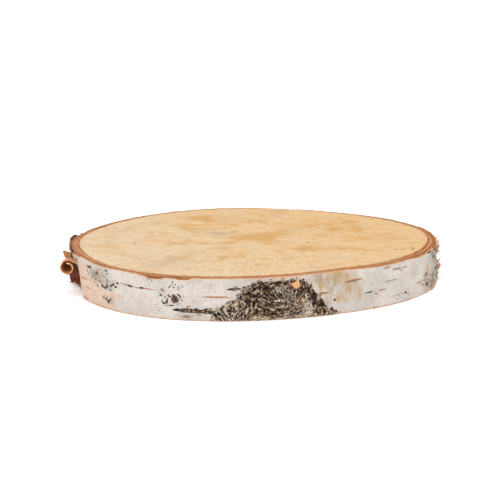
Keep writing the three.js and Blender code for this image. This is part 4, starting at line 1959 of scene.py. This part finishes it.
@dataclass(frozen=True)
class Loose:
    """Loose bark: lifted flakes, and shreds of fibre at the torn places."""

    trunk: Trunk
    flakes: tuple[Flake, ...] = (
        Flake("lifted_flake_left", -87.5, -103, 21.5, 28.4, 3.0, -0.4, True),
        Flake("lifted_flake_mouth", -77.2, -82, 20.8, 25.2, 4.0, 0.0, True),
        Flake("lifted_flake_back", 168, 148, 15.0, 26.0, 3.0, 1.0),
    )
    # Each tuft's bearing and its spread, its level and its height, and its shreds' count and size.
    shreds: tuple[tuple[float, float, float, float, int, float], ...] = (
        (92, 7, 23.5, 4.5, 44, 1.2), (92, 6, 9, 3.2, 34, 1.2), (76, 5, 2.2, 1.4, 18, 0.8),
        (-92, 5, 26, 2, 14, 0.9), (-86, 6, 3, 2.5, 8, 0.8), (-74, 4, 3.6, 0.6, 3, 0.5),
        (42.4, 0.6, 0.4, 0.1, 5, 0.3), (58, 0.6, 0.4, 0.1, 4, 0.3), (-66, 1.5, 12, 6, 2, 0.6),
        (-101, 6, 26, 1.5, 12, 1.0), (152, 9, 14, 6, 12, 1.0), (-150, 9, 26, 2, 10, 1.0),
    )

    def lift(self, flake: Flake) -> bpy.types.Object:
        """Models one flake.

        Args:
            flake: its place and how far it stands off.

        Returns:
            The piece.
        """
        crumple = Noise(72)

        def surface(u: np.ndarray, v: np.ndarray) -> np.ndarray:
            """The flake.

            Args:
                u: shares of the way from its rooted edge to its free one.
                v: shares of the way upwards.

            Returns:
                Points in millimetres.
            """
            torn = 1 + 0.14 * crumple.layers(v * 5, flake.stop, 4, 3)
            bearing = between(flake.start, flake.stop, u * torn)
            frayed = 1 + 0.34 * crumple.layers(u * 9, flake.start, 0, 3) - 0.35 * u**4
            level = between(flake.low, flake.high, 0.5 + (v - 0.5) * frayed) + flake.lean * u
            level = np.minimum(level, self.trunk.thickness - 0.3)
            off = flake.gap * np.sin(np.clip(u**1.2 * 1.15, 0, 1) * math.pi / 2) * (0.75 + 0.25 * v)
            off = off + 0.5 * crumple.layers(u * 4, v * 2, flake.start, 3) * u - 0.4 * (1 - u)
            return self.trunk.place(bearing, self.trunk.radius(bearing, level) + off, level)

        # A stained flake is brown outside, and its inner side is darkened by painted shade.
        stain = (1.0, 1.0) if flake.stain_and_shade else (0.0, 0.0)
        return bent_sheet(flake.name, 40, 16, surface, 0.9, flake.stop < flake.start, stain)

    def shred(self) -> bpy.types.Object:
        """Models all the shreds as one piece.

        Returns:
            The piece.
        """
        rng = np.random.default_rng(7)
        made = []
        for middle, spread, height, tall, count, size in self.shreds:
            for _ in range(count):
                bearing, level = rng.normal(middle, spread / 2), rng.normal(height, tall / 2)
                level = float(np.clip(level, 0.5, self.trunk.thickness - 0.8))
                made.append(self.ribbon(bearing, level, size, rng))
        bpy.ops.object.select_all(action="DESELECT")
        for one in made:
            one.select_set(True)
        bpy.context.view_layer.objects.active = made[0]
        bpy.ops.object.join()
        piece = bpy.context.active_object
        piece.name = piece.data.name = "bark_shreds"
        return piece

    def ribbon(self, bearing: float, level: float, size: float, rng: np.random.Generator) -> bpy.types.Object:
        """Models one shred.

        Args:
            bearing: where it is rooted.
            level: where it is rooted.
            size: how large it is beside the common shred.
            rng: where its shape comes from.

        Returns:
            The piece.
        """
        length = size * rng.uniform(2, 7)
        width = rng.uniform(0.4, 1.3) * size**0.5
        out = size * rng.uniform(0.4, 3.2)
        aim, bend = rng.normal(0, 0.5) + rng.choice((0, math.pi)), rng.normal(0, 0.7)
        arc = self.trunk.mean_radius * DEGREE

        def surface(u: np.ndarray, v: np.ndarray) -> np.ndarray:
            """The shred.

            Args:
                u: shares of the way from its root to its tip.
                v: shares of the way across it.

            Returns:
                Points in millimetres.
            """
            turn = aim + bend * u
            taper = width * (1 - 0.75 * u**2) * (v - 0.5)
            across = length * u * np.cos(turn) - taper * np.sin(turn)
            up = length * u * np.sin(turn) + taper * np.cos(turn)
            at = bearing + across / arc
            high = np.clip(level + up, 0.15, self.trunk.thickness - 0.2)
            base = self.trunk.radius(at, high) - self.trunk.paper * 0.5
            torn = self.trunk.torn(at, high)
            base = between(base, self.trunk.inner_radius(at, high), torn)
            return self.trunk.place(at, base + out * u**1.4 + 0.2, high)

        return bent_sheet("shred", 7, 2, surface, 0.28, True)


@dataclass(frozen=True)
class ScarChip:
    """The fresh orange flake that stands on the branch scar."""

    trunk: Trunk
    outline: tuple[tuple[float, float], ...] = ((0.0, 0.40), (0.3, 0.66), (0.7, 0.80), (1.0, 1.16))
    start: float = 12.0
    stop: float = 14.4
    low: float = 20.0
    high: float = 26.0

    def build(self) -> bpy.types.Object:
        """Models the chip.

        Returns:
            The piece.
        """

        def surface(u: np.ndarray, v: np.ndarray) -> np.ndarray:
            """The chip.

            Args:
                u: shares of the way to the right.
                v: shares of the way upwards.

            Returns:
                Points in millimetres.
            """
            bearing = between(self.start, self.stop, u + 0.12 * np.sin(v * 5))
            over = np.interp(u, *zip(*self.outline))
            under = np.abs(u - 0.6) ** 1.3 * 0.75
            level = between(self.low, self.high, between(under, over, v))
            off = 1.2 + 0.9 * u + 0.25 * np.sin(v * 7 + u * 3)
            return self.trunk.place(bearing, self.trunk.radius(bearing, level) + off, level)

        piece = bent_sheet("scar_chip", 16, 16, surface, 1.3)
        # It is fresh all over, and less so at its edges.
        peel = piece.data.attributes["peel"]
        colour = np.zeros(len(piece.data.vertices) * 4, np.float32)
        peel.data.foreach_get("color", colour)
        edge = colour[1::4]
        colour[2::4] = 1 - 0.6 * edge
        peel.data.foreach_set("color", colour)
        return piece


# ---------------------------------------------------------------- studio


@dataclass(frozen=True)
class Lamp:
    """A soft square light that faces the slice, placed in metres."""

    name: str
    place: tuple[float, float, float]
    size: float
    watts: float


@dataclass(frozen=True)
class Studio:
    """A plain pale floor, soft light from all round, and the camera."""

    world: float = 1.03
    floor_tone: str = "FDFDFD"
    backdrop: float = 0.26
    lamps: tuple[Lamp, ...] = (
        Lamp("key_light", (-0.9, -1.3, 1.5), 1.4, 8.5),
        Lamp("fill_light", (1.3, -1.1, 0.9), 1.2, 1.5),
        Lamp("top_light", (0.0, 0.1, 2.0), 1.5, 4.5),
    )
    target: tuple[float, float, float] = (-1.7, 0.0, 21.5)
    elevation: float = 11.51
    distance: float = 1600
    lens: float = 165.95

    def build(self) -> None:
        """Builds the floor, the lights and the camera."""
        floor = add_primitive(bpy.ops.mesh.primitive_plane_add, "floor", size=10)
        # Matt paper has no shine. It is lit by itself too, so the soft shadow nearly washes out.
        paper = Shader("matt_white_paper")
        surface = paper.add(Node.LIT_SURFACE, self.floor_tone, 0.9, 0.0, "FFFFFF", self.backdrop)
        paper.add(Node.OUTPUT, surface)
        floor.data.materials.append(paper.material)
        floor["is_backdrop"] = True
        world = bpy.data.worlds.new("soft_daylight")
        bpy.context.scene.world = world
        world.use_nodes = True
        sky = world.node_tree.nodes["Background"]
        sky.inputs["Color"].default_value = (1, 1, 1, 1)
        sky.inputs["Strength"].default_value = self.world
        for lamp in self.lamps:
            self.hang(lamp)
        self.film()

    def hang(self, lamp: Lamp) -> None:
        """Hangs one light, turned to the slice.

        Args:
            lamp: the light.
        """
        data = bpy.data.lights.new(lamp.name, "AREA")
        data.shape = "SQUARE"
        data.size = lamp.size
        data.energy = lamp.watts
        light = bpy.data.objects.new(lamp.name, data)
        bpy.context.collection.objects.link(light)
        light.location = lamp.place
        light.rotation_euler = (-Vector(lamp.place)).to_track_quat("-Z", "Y").to_euler()

    def film(self) -> None:
        """Places the camera, and sets how its light is turned into colours."""
        data = bpy.data.cameras.new("camera")
        data.lens = self.lens
        data.sensor_width = 36
        camera = bpy.data.objects.new("camera", data)
        bpy.context.collection.objects.link(camera)
        tilt = self.elevation * DEGREE
        back = Vector((0, -math.cos(tilt), math.sin(tilt)))
        camera.location = (Vector(self.target) + back * self.distance) * MM
        camera.rotation_euler = (-back).to_track_quat("-Z", "Y").to_euler()
        data.clip_start, data.clip_end = 0.05, 50
        bpy.context.scene.camera = camera
        bpy.context.scene.view_settings.view_transform = "Standard"


def main() -> None:
    """Builds the slice, dresses it and sets up the studio."""
    logging.basicConfig(level=logging.INFO)
    low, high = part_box(CAD_NODE)
    trunk = Trunk(floor=low.z / MM, thickness=(high.z - low.z) / MM)
    put_on_frame(SawnWood(trunk).build(), Slot.WOOD, SawnBirch().material(trunk))
    put_on_frame(InnerBark(trunk).build(), Slot.BARK, InnerBarkFinish().material())
    bark = OuterBark(trunk, BarkPattern(trunk), BranchScar())
    put_on_frame(bark.build(), Slot.BARK, PaperBark().material())
    peeled = PeeledBark().material()
    loose = Loose(trunk)
    put_on_frame(PeeledRoll().build(), Slot.BARK, peeled)
    for flake in loose.flakes:
        put_on_frame(loose.lift(flake), Slot.BARK, peeled)
    put_on_frame(loose.shred(), Slot.BARK, peeled)
    put_on_frame(ScarChip(trunk).build(), Slot.BARK, peeled)
    Studio().build()


if __name__ == "__main__":
    main()
    boxes = {"cad": cad_box, "visual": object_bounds()}
    sizes = {name: [list(corner) for corner in box] for name, box in boxes.items()}
